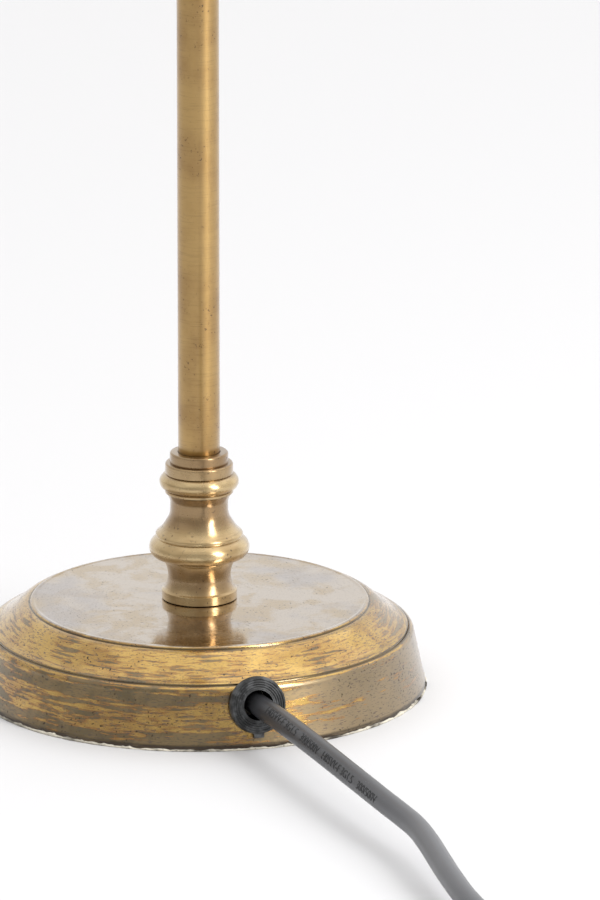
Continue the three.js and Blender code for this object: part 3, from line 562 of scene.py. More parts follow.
# %% Aged spun brass
def aged_spun_brass():
    """Spun brass, once lacquered: mirror-like, with brown and grey tarnish in rings of streaks."""
    material, tree, shader = new_material(
        "aged_spun_brass", Metallic=1.0, Coat_Weight=0.8, Coat_Roughness=0.1,
    )
    streak_spot, height, radius = round_coordinates(tree, 95, 15, 2.0)
    dash_spot, _, _ = round_coordinates(tree, 95, 2.6, 0.5)
    scratch_spot, _, _ = round_coordinates(tree, 95, 26, 0.35)
    plain_spot = add_node(tree, "ShaderNodeTexCoord", output="Object")
    broad = add_node(
        tree, "ShaderNodeTexNoise",
        {"Vector": plain_spot, "Scale": 24, "Detail": 3, "Roughness": 0.55},
    )
    patches = add_node(
        tree, "ShaderNodeTexNoise",
        {"Vector": plain_spot, "Scale": 60, "Detail": 5, "Roughness": 0.6, "Distortion": 0.4},
    )
    streaks = add_node(
        tree, "ShaderNodeTexNoise",
        {"Vector": streak_spot, "Scale": 1.0, "Detail": 4, "Roughness": 0.6},
    )
    dashes = add_node(
        tree, "ShaderNodeTexNoise",
        {"Vector": dash_spot, "Scale": 1.0, "Detail": 3, "Roughness": 0.6},
    )
    specks = add_node(
        tree, "ShaderNodeTexNoise",
        {"Vector": plain_spot, "Scale": 850, "Detail": 1, "Roughness": 0.55},
    )
    scratches = add_node(
        tree, "ShaderNodeTexNoise",
        {"Vector": scratch_spot, "Scale": 1.0, "Detail": 2, "Roughness": 0.5},
    )
    swell = add_node(
        tree, "ShaderNodeTexNoise",
        {"Vector": plain_spot, "Scale": 30, "Detail": 1, "Roughness": 0.55},
    )

    plate, wall, plain_bands, even_tarnish_and_sheen = base_zones(tree, plain_spot, height, radius)
    wear_and_shade = base_wear(tree, streaks, broad, wall, plain_bands, even_tarnish_and_sheen)
    bright = add_node(
        tree, "ShaderNodeMath",
        {
            0: add_node(
                tree, "ShaderNodeMapRange",
                {"Value": wear_and_shade, "From Min": 0.725, "From Max": 0.75, "To Max": 0.8},
                interpolation_type="SMOOTHSTEP",
            ),
            1: add_node(
                tree, "ShaderNodeMapRange",
                {"Value": wear_and_shade, "From Min": 0.76, "From Max": 0.84, "To Max": 0.2},
                interpolation_type="SMOOTHSTEP",
            ),
        },
        operation="ADD",
    )
    colour = wall_colour(tree, wear_and_shade, bright, patches, dashes, even_tarnish_and_sheen)
    # The plate and the top of its bead take a pale grey: partly a tarnish film, partly painted
    # reflection.
    colour = add_node(
        tree, "ShaderNodeMix",
        {0: plate, 6: colour, 7: plate_colour(tree, patches, broad)},
        data_type="RGBA",
    )
    dash = add_node(
        tree, "ShaderNodeMapRange",
        {
            "Value": add_node(
                tree, "ShaderNodeMath", {0: broad, 1: 0.2, 2: dashes}, operation="MULTIPLY_ADD",
            ),
            "From Min": 0.69,
            "From Max": 0.72,
        },
        interpolation_type="SMOOTHSTEP",
    )
    dash_amount = add_node(
        tree, "ShaderNodeMath",
        {
            0: dash,
            1: add_node(
                tree, "ShaderNodeMapRange",
                {"Value": plate, "To Min": 0.8, "To Max": 0.4},
                interpolation_type="SMOOTHSTEP",
            ),
        },
        operation="MULTIPLY",
    )
    colour = add_node(
        tree, "ShaderNodeMix", {0: dash_amount, 6: colour, 7: linear("#675650")}, data_type="RGBA",
    )
    pitted = add_node(
        tree, "ShaderNodeMapRange",
        {"Value": patches, "From Min": 0.42, "From Max": 0.55, "To Min": 0.1, "To Max": 0.95},
        interpolation_type="SMOOTHSTEP",
    )
    pits = add_node(
        tree, "ShaderNodeMath",
        {
            0: add_node(
                tree, "ShaderNodeMapRange",
                {"Value": specks, "From Min": 0.66, "From Max": 0.71},
                interpolation_type="SMOOTHSTEP",
            ),
            1: pitted,
        },
        operation="MULTIPLY",
    )
    colour = add_node(
        tree, "ShaderNodeMix", {0: pits, 6: colour, 7: linear("#3A2C1E")}, data_type="RGBA",
    )
    colour = edge_grime(tree, colour, height, radius, streaks)
    tree.links.new(colour, shader.inputs["Base Color"])

    dull = add_node(
        tree, "ShaderNodeMath",
        {
            0: dash_amount,
            1: 0.15,
            2: add_node(
                tree, "ShaderNodeMapRange",
                {"Value": bright, "To Min": 0.34, "To Max": 0.22},
                interpolation_type="SMOOTHSTEP",
            ),
        },
        operation="MULTIPLY_ADD",
    )
    dull = add_node(tree, "ShaderNodeMath", {0: plate, 1: -0.16, 2: dull}, operation="MULTIPLY_ADD")
    dull = add_node(tree, "ShaderNodeMath", {0: pits, 1: 0.25, 2: dull}, operation="MULTIPLY_ADD")
    tree.links.new(dull, shader.inputs["Roughness"])
    relief = add_node(
        tree, "ShaderNodeMath",
        {
            0: pits,
            1: -1.0,
            2: add_node(tree, "ShaderNodeMath", {0: dash_amount, 1: -0.5}, operation="MULTIPLY"),
        },
        operation="MULTIPLY_ADD",
    )
    relief = add_node(
        tree, "ShaderNodeMath", {0: scratches, 1: 0.3, 2: relief}, operation="MULTIPLY_ADD",
    )
    relief = add_node(
        tree, "ShaderNodeMath", {0: bright, 1: 0.35, 2: relief}, operation="MULTIPLY_ADD",
    )
    small = add_node(tree, "ShaderNodeBump", {"Height": relief, "Strength": 0.3, "Distance": 4e-05})
    large = add_node(
        tree, "ShaderNodeBump",
        {"Height": swell, "Strength": 0.3, "Distance": 0.0006, "Normal": small},
    )
    tree.links.new(large, shader.inputs["Normal"])
    return material


# %% [markdown]
# Turned brass keeps the fine grooves of the lathe tool. They are far too fine to see one by one, but
# together they spread a highlight up and down and leave it narrow from side to side. That is
# anisotropy: the tangent runs round the axis, and a quarter turn puts the blur across the grooves.

# %% Turned and drawn brass
def satin_brass(name, light, dark, axis="Z", roughness=0.24, aniso=0.65, mark_mm=0.5,
                hollows=None):
    """Satin brass off a lathe or a drawbench, with marks round or along its axis."""
    material, tree, shader = new_material(
        name, Metallic=1.0, Anisotropic=aniso, Anisotropic_Rotation=0.25, Coat_Weight=1.0,
        Coat_Roughness=0.2,
    )
    plain_spot = add_node(tree, "ShaderNodeTexCoord", output="Object")
    tangent = add_node(tree, "ShaderNodeTangent", direction_type="RADIAL", axis=axis)
    tree.links.new(tangent, shader.inputs["Tangent"])
    squeeze = {"X": (1, 0.04, 0.04), "Y": (0.04, 1, 0.04), "Z": (0.04, 0.04, 1)}[axis]
    stretched = add_node(
        tree, "ShaderNodeVectorMath", {0: plain_spot, 1: squeeze}, operation="MULTIPLY",
    )
    marks = add_node(
        tree, "ShaderNodeTexNoise",
        {"Vector": stretched, "Scale": 1 / (mark_mm * MM), "Detail": 3, "Roughness": 0.7},
    )
    broad = add_node(
        tree, "ShaderNodeTexNoise",
        {"Vector": plain_spot, "Scale": 45, "Detail": 4, "Roughness": 0.55},
    )
    specks = add_node(
        tree, "ShaderNodeTexNoise",
        {"Vector": plain_spot, "Scale": 700, "Detail": 2, "Roughness": 0.55},
    )
    colour = add_node(
        tree, "ShaderNodeMix",
        {
            0: add_node(
                tree, "ShaderNodeMapRange",
                {"Value": broad, "From Min": 0.38, "From Max": 0.68},
                interpolation_type="SMOOTHSTEP",
            ),
            6: linear(light),
            7: linear(dark),
        },
        data_type="RGBA",
    )
    colour = add_node(
        tree, "ShaderNodeMix",
        {
            0: add_node(
                tree, "ShaderNodeMath",
                {
                    0: add_node(
                        tree, "ShaderNodeMapRange",
                        {"Value": marks, "From Min": 0.5, "From Max": 0.72},
                        interpolation_type="SMOOTHSTEP",
                    ),
                    1: 0.35,
                },
                operation="MULTIPLY",
            ),
            6: colour,
            7: linear("#7C6038"),
        },
        data_type="RGBA",
    )
    # Given hollows, the metal is painted darker (#7E5E38) where the radius is small: painted shade in
    # the turned hollows.
    if hollows:
        _, _, reach = round_coordinates(tree, 20, 20, 1)
        away_from_hollows = add_node(
            tree, "ShaderNodeMapRange",
            {"Value": reach, "From Min": hollows[0] * MM, "From Max": hollows[1] * MM},
            interpolation_type="SMOOTHSTEP",
        )
        wear_and_shade = add_node(
            tree, "ShaderNodeMapRange",
            {
                "Value": add_node(
                    tree, "ShaderNodeMath",
                    {0: marks, 1: 0.5, 2: away_from_hollows},
                    operation="MULTIPLY_ADD",
                ),
                "From Min": 0.1,
                "From Max": 1.2,
                "To Min": 0.75,
                "To Max": 0.0,
            },
            interpolation_type="SMOOTHSTEP",
        )
        colour = add_node(
            tree, "ShaderNodeMix", {0: wear_and_shade, 6: colour, 7: linear("#7E5E38")}, data_type="RGBA",
        )
    crowded = add_node(
        tree, "ShaderNodeMapRange",
        {"Value": broad, "From Min": 0.48, "From Max": 0.62, "To Min": 0.1, "To Max": 0.8},
        interpolation_type="SMOOTHSTEP",
    )
    pits = add_node(
        tree, "ShaderNodeMath",
        {
            0: add_node(
                tree, "ShaderNodeMapRange",
                {"Value": specks, "From Min": 0.62, "From Max": 0.7},
                interpolation_type="SMOOTHSTEP",
            ),
            1: crowded,
        },
        operation="MULTIPLY",
    )
    colour = add_node(
        tree, "ShaderNodeMix", {0: pits, 6: colour, 7: linear("#4A3826")}, data_type="RGBA",
    )
    tree.links.new(colour, shader.inputs["Base Color"])
    rough = add_node(
        tree, "ShaderNodeMath",
        {
            0: add_node(
                tree, "ShaderNodeMapRange",
                {"Value": broad, "From Min": 0.4, "From Max": 0.7, "To Max": 0.07},
                interpolation_type="SMOOTHSTEP",
            ),
            1: roughness,
        },
        operation="ADD",
    )
    rough = add_node(tree, "ShaderNodeMath", {0: pits, 1: 0.2, 2: rough}, operation="MULTIPLY_ADD")
    tree.links.new(rough, shader.inputs["Roughness"])
    bump = add_node(tree, "ShaderNodeBump", {"Height": marks, "Strength": 0.6, "Distance": 3e-05})
    tree.links.new(bump, shader.inputs["Normal"])
    return material


# %% [markdown]
# The plainer finishes share one recipe: a base colour that varies a little, a second colour for dust
# or wear, and a bump whose grain is the real one's size.

# %% Plain finishes
def plain_finish(name, colour, second, grain_mm, roughness, spread=0.1, bump_mm=0.02,
                 amount=0.35, **sockets):
    """A moulded, cast, woven or plated finish with a grain of a real size."""
    material, tree, shader = new_material(name, **sockets)
    spot = add_node(tree, "ShaderNodeTexCoord", output="Object")
    grain = add_node(
        tree, "ShaderNodeTexNoise",
        {"Vector": spot, "Scale": 1 / (grain_mm * MM), "Detail": 4, "Roughness": 0.6},
    )
    broad = add_node(
        tree, "ShaderNodeTexNoise",
        {"Vector": spot, "Scale": 1 / (grain_mm * 14 * MM), "Detail": 3, "Roughness": 0.55},
    )
    patch = add_node(
        tree, "ShaderNodeMath",
        {
            0: add_node(
                tree, "ShaderNodeMapRange",
                {"Value": broad, "From Min": 0.42, "From Max": 0.68},
                interpolation_type="SMOOTHSTEP",
            ),
            1: amount,
        },
        operation="MULTIPLY",
    )
    mixed = add_node(
        tree, "ShaderNodeMix", {0: patch, 6: linear(colour), 7: linear(second)}, data_type="RGBA",
    )
    mixed = add_node(
        tree, "ShaderNodeMix",
        {
            0: add_node(
                tree, "ShaderNodeMath",
                {
                    0: add_node(
                        tree, "ShaderNodeMapRange",
                        {"Value": grain, "From Min": 0.55, "From Max": 0.75},
                        interpolation_type="SMOOTHSTEP",
                    ),
                    1: amount,
                },
                operation="MULTIPLY",
            ),
            6: mixed,
            7: linear(second),
        },
        data_type="RGBA",
    )
    tree.links.new(mixed, shader.inputs["Base Color"])
    rough = add_node(
        tree, "ShaderNodeMath",
        {0: broad, 1: spread, 2: roughness - spread / 2},
        operation="MULTIPLY_ADD",
    )
    tree.links.new(rough, shader.inputs["Roughness"])
    bump = add_node(
        tree, "ShaderNodeBump", {"Height": grain, "Strength": 0.5, "Distance": bump_mm * MM},
    )
    tree.links.new(bump, shader.inputs["Normal"])
    return material


def cord_sheath():
    """Grey PVC with dust specks: darker near the grommet, which is painted shade, and paler further
    out, which is painted sheen.
    """
    material, tree, shader = new_material("pvc_sheath")
    spot = add_node(tree, "ShaderNodeTexCoord", output="Object")
    along = add_node(tree, "ShaderNodeSeparateXYZ", {0: spot})
    grain = add_node(
        tree, "ShaderNodeTexNoise", {"Vector": spot, "Scale": 1800, "Detail": 4, "Roughness": 0.55},
    )
    broad = add_node(
        tree, "ShaderNodeTexNoise", {"Vector": spot, "Scale": 90, "Detail": 3, "Roughness": 0.55},
    )
    # Paler further out along -X: a painted sheen, not a change in the PVC.
    painted_sheen = add_node(
        tree, "ShaderNodeMapRange",
        {"Value": along, "From Min": -0.3, "From Max": -0.19, "To Min": 1.0, "To Max": 0.0},
        interpolation_type="SMOOTHSTEP",
    )
    colour = add_node(
        tree, "ShaderNodeMix",
        {0: painted_sheen, 6: linear("#3F4044"), 7: linear("#636468")},
        data_type="RGBA",
    )
    # Darker near the grommet, broken up by broad noise: painted shade.
    painted_grommet_shade = add_node(
        tree, "ShaderNodeMath",
        {
            0: add_node(
                tree, "ShaderNodeMapRange",
                {"Value": along, "From Min": -0.135, "From Max": -0.1},
                interpolation_type="SMOOTHSTEP",
            ),
            1: add_node(
                tree, "ShaderNodeMapRange",
                {"Value": broad, "From Min": 0.35, "From Max": 0.6, "To Min": 0.6, "To Max": 0.95},
                interpolation_type="SMOOTHSTEP",
            ),
        },
        operation="MULTIPLY",
    )
    colour = add_node(
        tree, "ShaderNodeMix", {0: painted_grommet_shade, 6: colour, 7: linear("#252527")}, data_type="RGBA",
    )
    dust = add_node(
        tree, "ShaderNodeMath",
        {
            0: add_node(
                tree, "ShaderNodeMapRange",
                {"Value": grain, "From Min": 0.56, "From Max": 0.7, "To Max": 0.35},
                interpolation_type="SMOOTHSTEP",
            ),
            1: add_node(
                tree, "ShaderNodeMapRange",
                {"Value": broad, "From Min": 0.4, "From Max": 0.65},
                interpolation_type="SMOOTHSTEP",
            ),
        },
        operation="MULTIPLY",
    )
    colour = add_node(
        tree, "ShaderNodeMix", {0: dust, 6: colour, 7: linear("#85868A")}, data_type="RGBA",
    )
    tree.links.new(colour, shader.inputs["Base Color"])
    tree.links.new(
        add_node(tree, "ShaderNodeMath", {0: broad, 1: 0.14, 2: 0.26}, operation="MULTIPLY_ADD"),
        shader.inputs["Roughness"],
    )
    bump = add_node(tree, "ShaderNodeBump", {"Height": grain, "Strength": 0.4, "Distance": 1e-05})
    tree.links.new(bump, shader.inputs["Normal"])
    return material


AGED_BRASS = aged_spun_brass()
# The neck's hollows, from 13.5 to 18 mm from the axis, take painted shade.
NECK_BRASS = satin_brass("turned_neck_brass", "#CBB283", "#B39666", roughness=0.25, aniso=0.65,
                         mark_mm=0.8, hollows=(13.5, 18))
TURNED_BRASS = satin_brass("turned_brass", "#BBA074", "#A2855A", roughness=0.3, aniso=0.55)
TUBE_BRASS = satin_brass("drawn_tube_brass", "#B39155", "#A17E46", roughness=0.33, aniso=0.5)
TURNED_BRASS_Y = satin_brass("turned_brass_on_y", "#B3966A", "#9C7D50", axis="Y")
TURNED_BRASS_X = satin_brass("turned_brass_on_x", "#B3966A", "#9C7D50", axis="X")
TUBE_BRASS_X = satin_brass("drawn_tube_brass_on_x", "#B3925E", "#A38250", axis="X", roughness=0.27)
SHADE_BRASS = satin_brass("spun_shade_brass", "#B8935A", "#9C7A48", axis="X", roughness=0.2,
                          aniso=0.4, mark_mm=0.8)
RUBBER = plain_finish("moulded_rubber", "#161718", "#7C7E80", 0.3, 0.5, 0.2, 0.03, amount=0.35)
PLUG_RUBBER = plain_finish("moulded_plug", "#232426", "#3A3B3D", 0.6, 0.55, 0.1, 0.02)
CORD_PVC = cord_sheath()
SHEATH_MARK = plain_finish("pvc_marking", "#1F1F21", "#2C2D2F", 0.5, 0.5, 0.1, 0.01)
LEAD_PVC = plain_finish("pvc_lead", "#D8D2C4", "#B9B2A2", 0.5, 0.45)
NYLON = plain_finish("moulded_nylon", "#DAD5C8", "#BDB6A6", 0.8, 0.5, 0.1, 0.01)
PHENOLIC = plain_finish("moulded_phenolic", "#1D1714", "#3A2C24", 1.2, 0.32, 0.1, 0.01,
                        Coat_Weight=0.3)
PORCELAIN = plain_finish("glazed_porcelain", "#F0ECE2", "#E2DCCE", 3, 0.16, 0.05, 0.01,
                         Coat_Weight=0.6)
STEEL = plain_finish("zinc_plated_steel", "#B6B5AF", "#8E8B82", 0.8, 0.32, 0.12, 0.01,
                     Metallic=1.0)
NICKEL = plain_finish("nickel_plate", "#CFC9BC", "#AFA796", 1.0, 0.2, 0.08, 0.006, Metallic=1.0)
IRON = plain_finish("sand_cast_iron", "#4B4947", "#6B4A36", 1.5, 0.75, 0.1, 0.12, Metallic=0.5)
FELT = plain_finish("wool_felt", "#34402F", "#4E5C46", 0.4, 0.95, 0.05, 0.12)
RIM_PUTTY = plain_finish("worn_rim_paint", "#DDD6C6", "#2E261D", 1.1, 0.8, 0.1, 0.2, amount=1.0)
ENAMEL = plain_finish("white_enamel", "#F1EEE6", "#E4DFD2", 2.5, 0.35, 0.08, 0.02)
FROSTED = plain_finish("frosted_bulb_glass", "#F7F4EC", "#EFEBE0", 2.0, 0.3, 0.05, 0.004,
                       Coat_Weight=0.4)
print("materials:", len(bpy.data.materials))

# %% [markdown]
# ## The mains cord
# A cord has a fixed length, so it is settled before anything else. It leaves the rubber grommet
# almost level, sags to the floor over a hand's width, and runs into a neat coil. The coil winds in
# over two turns on the floor, climbs onto itself, and winds out again on top.

# %% Mains cord
CORD_R = 5
COIL_X, COIL_Y = -490, 24
LOW_LAYER, TOP_LAYER = 6.3, 16.7
COIL_OUTER, COIL_INNER, TURN_PITCH = 65.4, 44.6, 10.4
CLIMB_START, CLIMB_END, COIL_END = 720, 790, 1440
PLUG_X, PLUG_Y, PLUG_Z = -567, 52, 18.3

cord_route = [
    (-80, 0, 19.2), (-90, 0, 19.4), (-100.4, -0.8, 19.6), (-114, -2.8, 19.6),
    (-131, -5.1, 19.5), (-154.3, -7.9, 19.3), (-177.6, -10.7, 18.9), (-199.6, -13.3, 18.4),
    (-221.5, -16, 17.8), (-242, -18.7, 17.1), (-257.7, -21.1, 16.4), (-273, -22.9, 15.7),
    (-291, -22.9, 14.7), (-311, -22, 13.3), (-331, -21.3, 11.8), (-355, -21.6, 9.8),
    (-378, -24.4, 7.8), (-402, -30, 6.6), (-427, -36.6, 6.3), (-451, -40.6, 6.3),
]
for turn in range(0, COIL_END, 20):
    climbed = min(max((turn - CLIMB_START) / (CLIMB_END - CLIMB_START), 0), 1)
    if turn < CLIMB_START:
        reach = COIL_OUTER - TURN_PITCH * turn / 360
    else:
        reach = COIL_INNER + TURN_PITCH * max(turn - CLIMB_END, 0) / 360
    height = LOW_LAYER + (TOP_LAYER - LOW_LAYER) * (3 - 2 * climbed) * climbed ** 2
    angle = math.radians(-90 - turn)
    cord_route.append((
        COIL_X + reach * math.cos(angle), COIL_Y + reach * math.sin(angle), height,
    ))
cord_route += [
    (-492, -40.4, 16.7), (-514, -40.6, 15.4), (-533.8, -37.5, 12.6), (-547.6, -28, 8.8),
    (-559, -14, 6.8), (-567, 4, 8), (-570, 21, 11.6), (-569, 35, 15.6),
    (PLUG_X, PLUG_Y - 8, PLUG_Z - 0.6), (PLUG_X, PLUG_Y + 2, PLUG_Z),
]

mains_cord, spline = bent_line("mains_cord_sheath", cord_route, CORD_R, CORD_PVC, 5, 5)
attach(mains_cord, "stand")
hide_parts("mains_cord", "cord_coil", "cord_tail")

# %% [markdown]
# The sheath carries its type in raised letters. The letters are drawn flat, cut small, and then laid
# on the cord: their length runs along the line and their height wraps round the sheath.

# %% Sheath marking
SHEATH_FACE = Vector((-0.93, 0.25, 0.27))
MARK_START, MARK_SIZE, MARK_RAISED = 0.036, 5.4, 0.05
MARK_TURN, MARK_TWIST = 0.1, -4.2  # radians, and radians for each metre along the cord
LONGEST_EDGE = 0.5
POINTS_THAT_SHOW = 23


def sampled_line():
    """Points and distances along the cord's line."""
    line = []
    for a, b in zip(spline.bezier_points, spline.bezier_points[1:POINTS_THAT_SHOW]):
        line += interpolate_bezier(a.co, a.handle_right, b.handle_left, b.co, 13)[:-1]
    travel = [0.0]
    for a, b in zip(line, line[1:]):
        travel.append(travel[-1] + (b - a).length)
    return line, travel


def flat_marking():
    """The type marking as a flat mesh, cut small enough to bend."""
    text = bpy.data.curves.new("marking", "FONT")
    text.body = "H05VV-F 3G1.5   300/500V   H05VV-F 3G1.5   300/500V"
    text.size = MARK_SIZE * MM
    text.extrude = MARK_RAISED * MM
    text.align_y = "CENTER"
    flat = bpy.data.objects.new("marking", text)
    scene.collection.objects.link(flat)
    bpy.context.view_layer.update()
    mesh = bpy.data.meshes.new_from_object(flat)
    bm = bmesh.new()
    bm.from_mesh(mesh)
    bpy.data.curves.remove(text)
    bpy.data.meshes.remove(mesh)
    bmesh.ops.triangulate(bm, faces=bm.faces)
    for _ in range(3):
        long_edges = [e for e in bm.edges if e.calc_length() > LONGEST_EDGE * MM]
        bmesh.ops.subdivide_edges(bm, edges=long_edges, cuts=1)
        bmesh.ops.triangulate(bm, faces=bm.faces)
    return bm


def sheath_marking():
    """Wraps the flat letters round the cord's line."""
    bm = flat_marking()
    line, travel = sampled_line()
    for vert in bm.verts:
        reach = MARK_START + vert.co.x
        index = max(i for i, t in enumerate(travel) if t <= reach)
        along = (line[index + 1] - line[index]).normalized()
        spot = line[index] + along * (reach - travel[index])
        face = (SHEATH_FACE - along * SHEATH_FACE.dot(along)).normalized()
        angle = vert.co.y / (CORD_R * MM) + MARK_TWIST * vert.co.x + MARK_TURN
        outward = face * math.cos(angle) + face.cross(along) * math.sin(angle)
        vert.co = spot + outward * (CORD_R * MM + vert.co.z)
    bmesh.ops.recalc_face_normals(bm, faces=bm.faces)
    return bm


marking = finish_piece("sheath_marking", sheath_marking(), SHEATH_MARK, "stand")

# %% [markdown]
# ## The plug
# A straight moulded plug with two round pins. The body has flats to grip and a ribbed boot that
# keeps the cord from kinking.

# %% Plug
BOOT_L, BODY_L, BODY_R, PIN_R, PIN_L, PIN_PITCH = 24, 34, 18, 2.4, 19, 19


def plug_body():
    """A ribbed boot and a round body with a flat on each side."""
    boot = [(5.25, 0), (6.6, 0), (6.8, 2.4)]
    for rib in range(5):
        start = 3.4 + rib * 3.6
        swell = 6.9 + rib * 0.28
        boot += [(swell - 0.9, start), (swell - 0.9, start + 1.1), (swell, start + 1.6),
                 (swell, start + 2.9)]
    face = BOOT_L + BODY_L
    shell = [(8.6, BOOT_L - 1.4), (BODY_R - 4.5, BOOT_L + 1), (BODY_R - 1.2, BOOT_L + 4),
             (BODY_R, BOOT_L + 9), (BODY_R, face - 1.2), (BODY_R - 1.2, face), (0, face),
             (0, 8), (5.25, 8)]
    bm = turned([*boot, *shell], steps=64)
    flats = []
    for side in (-1, 1):
        corner = side * (BODY_R - 1.6)
        edge = [(corner, -9), (corner + side * 6, -9), (corner + side * 6, 9), (corner, 9)]
        flats.append(slab(edge, BOOT_L + 10, face - 6))
    bm = carve(bm, *flats)
    return moved(lay_along(bm, (0, 1, 0)), PLUG_X, PLUG_Y, PLUG_Z)


plug = finish_piece("plug_shell", plug_body(), PLUG_RUBBER, "stand", ["plug_body"], 0.35)
for name, side in (("plug_pin_left", -1), ("plug_pin_right", 1)):
    start = BOOT_L + BODY_L - 0.5
    tip = start + PIN_L + 0.5
    outline = [(0, start), (PIN_R, start), (PIN_R, tip - 1.6), (PIN_R - 0.5, tip - 0.5),
               (PIN_R - 1.3, tip), (0, tip)]
    bm = moved(turned(outline, 32, (0, 1, 0)), PLUG_X + side * PIN_PITCH / 2, PLUG_Y, PLUG_Z)
    finish_piece(name + "_turned", bm, NICKEL, "stand", [name])

# %% [markdown]
# A hook-and-loop strap holds the coil. It is a closed band round the bundle with its own thickness.

# %% Cord tie
STRAP_BOX = (38.4, 71.5, 1.0, 21.6)  # round the bundle: inner and outer reach, low and high
STRAP_WIDTH, STRAP_THICK, STRAP_CORNER, STRAP_TURN = 11, 0.8, 3, 20


def cord_strap():
    """A closed band with round corners, made flat, raised to its width and given its thickness."""
    x0, x1, z0, z1 = STRAP_BOX
    bend = STRAP_CORNER
    outline = [
        *arc(bend, -90, 0, 5, (x1 - bend, z0 + bend)), *arc(bend, 0, 90, 5, (x1 - bend, z1 - bend)),
        *arc(bend, 90, 180, 5, (x0 + bend, z1 - bend)),
        *arc(bend, 180, 270, 5, (x0 + bend, z0 + bend)),
    ]
    bm = bmesh.new()
    loop = [bm.verts.new((x * MM, -STRAP_WIDTH / 2 * MM, z * MM)) for x, z in outline]
    edges = [bm.edges.new(pair) for pair in zip(loop, loop[1:] + loop[:1])]
    grown = bmesh.ops.extrude_edge_only(bm, edges=edges)["geom"]
    raised = [g for g in grown if isinstance(g, bmesh.types.BMVert)]
    bmesh.ops.translate(bm, verts=raised, vec=(0, STRAP_WIDTH * MM, 0))
    bmesh.ops.recalc_face_normals(bm, faces=bm.faces)
    bmesh.ops.solidify(bm, geom=bm.faces[:], thickness=-STRAP_THICK * MM)
    bmesh.ops.recalc_face_normals(bm, faces=bm.faces)
    turn = Matrix.Rotation(math.radians(STRAP_TURN), 3, "Z")
    bmesh.ops.rotate(bm, verts=bm.verts, cent=(0, 0, 0), matrix=turn)
    return moved(bm, COIL_X, COIL_Y, 0)


strap = finish_piece("coil_strap", cord_strap(), PLUG_RUBBER, "stand", ["cord_tie"])

# %% [markdown]
# ## The base
# The shell is spun from one brass disc: a leaning side wall, a round shoulder, a groove, an ogee
# that rises to the flat plate, and a fine bead at the plate's edge. Spinning leaves it very slightly
# uneven, which a mirror finish shows, so its points are nudged by a few hundredths of a millimetre.

# %% Base shell
BASE_R, RIM_Z, WALL = 101.5, 0.5, 1.2
SHOULDER_R = 96.2
NIPPLE_R = 5.3
UNEVEN = 0.07
WALL_SLOPE = (BASE_R - SHOULDER_R) / (SHOULDER_Z - RIM_Z)
GLAND_Z = 19.4
GLAND_R = BASE_R - (GLAND_Z - RIM_Z) * WALL_SLOPE
GLAND_TURN = Matrix.Rotation(math.atan(WALL_SLOPE) - math.pi / 2, 3, "Y")


def at_gland(bm):
    """Moves what was made on +Z to the cord hole, square to the leaning wall."""
    bmesh.ops.rotate(bm, verts=bm.verts, cent=(0, 0, 0), matrix=GLAND_TURN)
    return moved(bm, -GLAND_R, 0, GLAND_Z)


def base_shell():
    """The outline from the rim up to the plate and back inside, spun and slightly uneven."""
    wall = [(BASE_R - 0.9, RIM_Z + 0.1), (BASE_R - 0.2, RIM_Z), (BASE_R, RIM_Z + 0.7),
            (BASE_R - 0.35, RIM_Z + 2)]
    wall += [(BASE_R - 0.35 - z * WALL_SLOPE, RIM_Z + 2 + z) for z in (4, 8, 12, 16, 20)]
    shoulder = smooth_line([
        (SHOULDER_R + 0.2, SHOULDER_Z - 1), (SHOULDER_R - 0.1, SHOULDER_Z + 0.5),
        (SHOULDER_R - 0.8, SHOULDER_Z + 1.7), (SHOULDER_R - 1.8, SHOULDER_Z + 2.4),
    ], 4)
    groove = [(GROOVE_R + 0.35, GROOVE_Z - 0.5), (GROOVE_R + 0.1, GROOVE_Z - 0.9),
              (GROOVE_R - 0.2, GROOVE_Z - 0.5), (GROOVE_R - 0.25, GROOVE_Z + 0.1)]
    ogee = smooth_line([
        (GROOVE_R - 0.8, GROOVE_Z + 0.5), (GROOVE_R - 3.4, GROOVE_Z + 1.6),
        (GROOVE_R - 6.4, GROOVE_Z + 3.6), (GROOVE_R - 9.6, GROOVE_Z + 6.2),
        (GROOVE_R - 12.6, GROOVE_Z + 8.7), (GROOVE_R - 15.2, GROOVE_Z + 10.3),
        (PLATE_R + 0.7, PLATE_Z - 0.8),
    ], 5)
    bead = smooth_line([
        (PLATE_R + 0.2, PLATE_Z - 0.9), (PLATE_R - 0.1, PLATE_Z - 0.3),
        (PLATE_R - 0.6, PLATE_Z + 0.25), (PLATE_R - 1.4, PLATE_Z + 0.35),
        (PLATE_R - 2.2, PLATE_Z + 0.12),
    ], 4)
    plate = [(PLATE_R - 3, PLATE_Z + 0.12), (60, PLATE_Z + 0.3), (45, PLATE_Z + 0.5),
             (30, PLATE_Z + 0.68), (18, PLATE_Z + 0.82), (NIPPLE_R, PLATE_Z + 0.9)]
    inside = [(NIPPLE_R, PLATE_Z - 0.4), (60, PLATE_Z - 1), (PLATE_R - 3, PLATE_Z - 1.4),
              (GROOVE_R - 6, GROOVE_Z + 1.6), (GROOVE_R - 1.6, GROOVE_Z - 1.8),
              (SHOULDER_R - 1.4, SHOULDER_Z - 0.6), (BASE_R - WALL - 0.35, RIM_Z + 2)]
    bm = turned([*wall, *shoulder, *groove, *ogee, *bead, *plate, *inside], steps=160)
    bm = carve(bm, at_gland(turned([(0, -9), (8.2, -9), (8.2, 6), (0, 6)], 48)))
    for vert in bm.verts:
        aim = Vector((vert.co.x, vert.co.y, 0)).normalized()
        unevenness = noise.noise(vert.co * 28) * UNEVEN * MM
        vert.co += aim * unevenness + Vector((0, 0, unevenness))
    return bm


finish_piece("base_shell_spun", base_shell(), AGED_BRASS, "stand", ["base_shell"])

# %% [markdown]
# Along the rim the brass is worn and a ragged line of old paint and glue holds the felt. It is a thin
# band whose edge wanders, made by turning a ring and pushing its points in and out with noise.

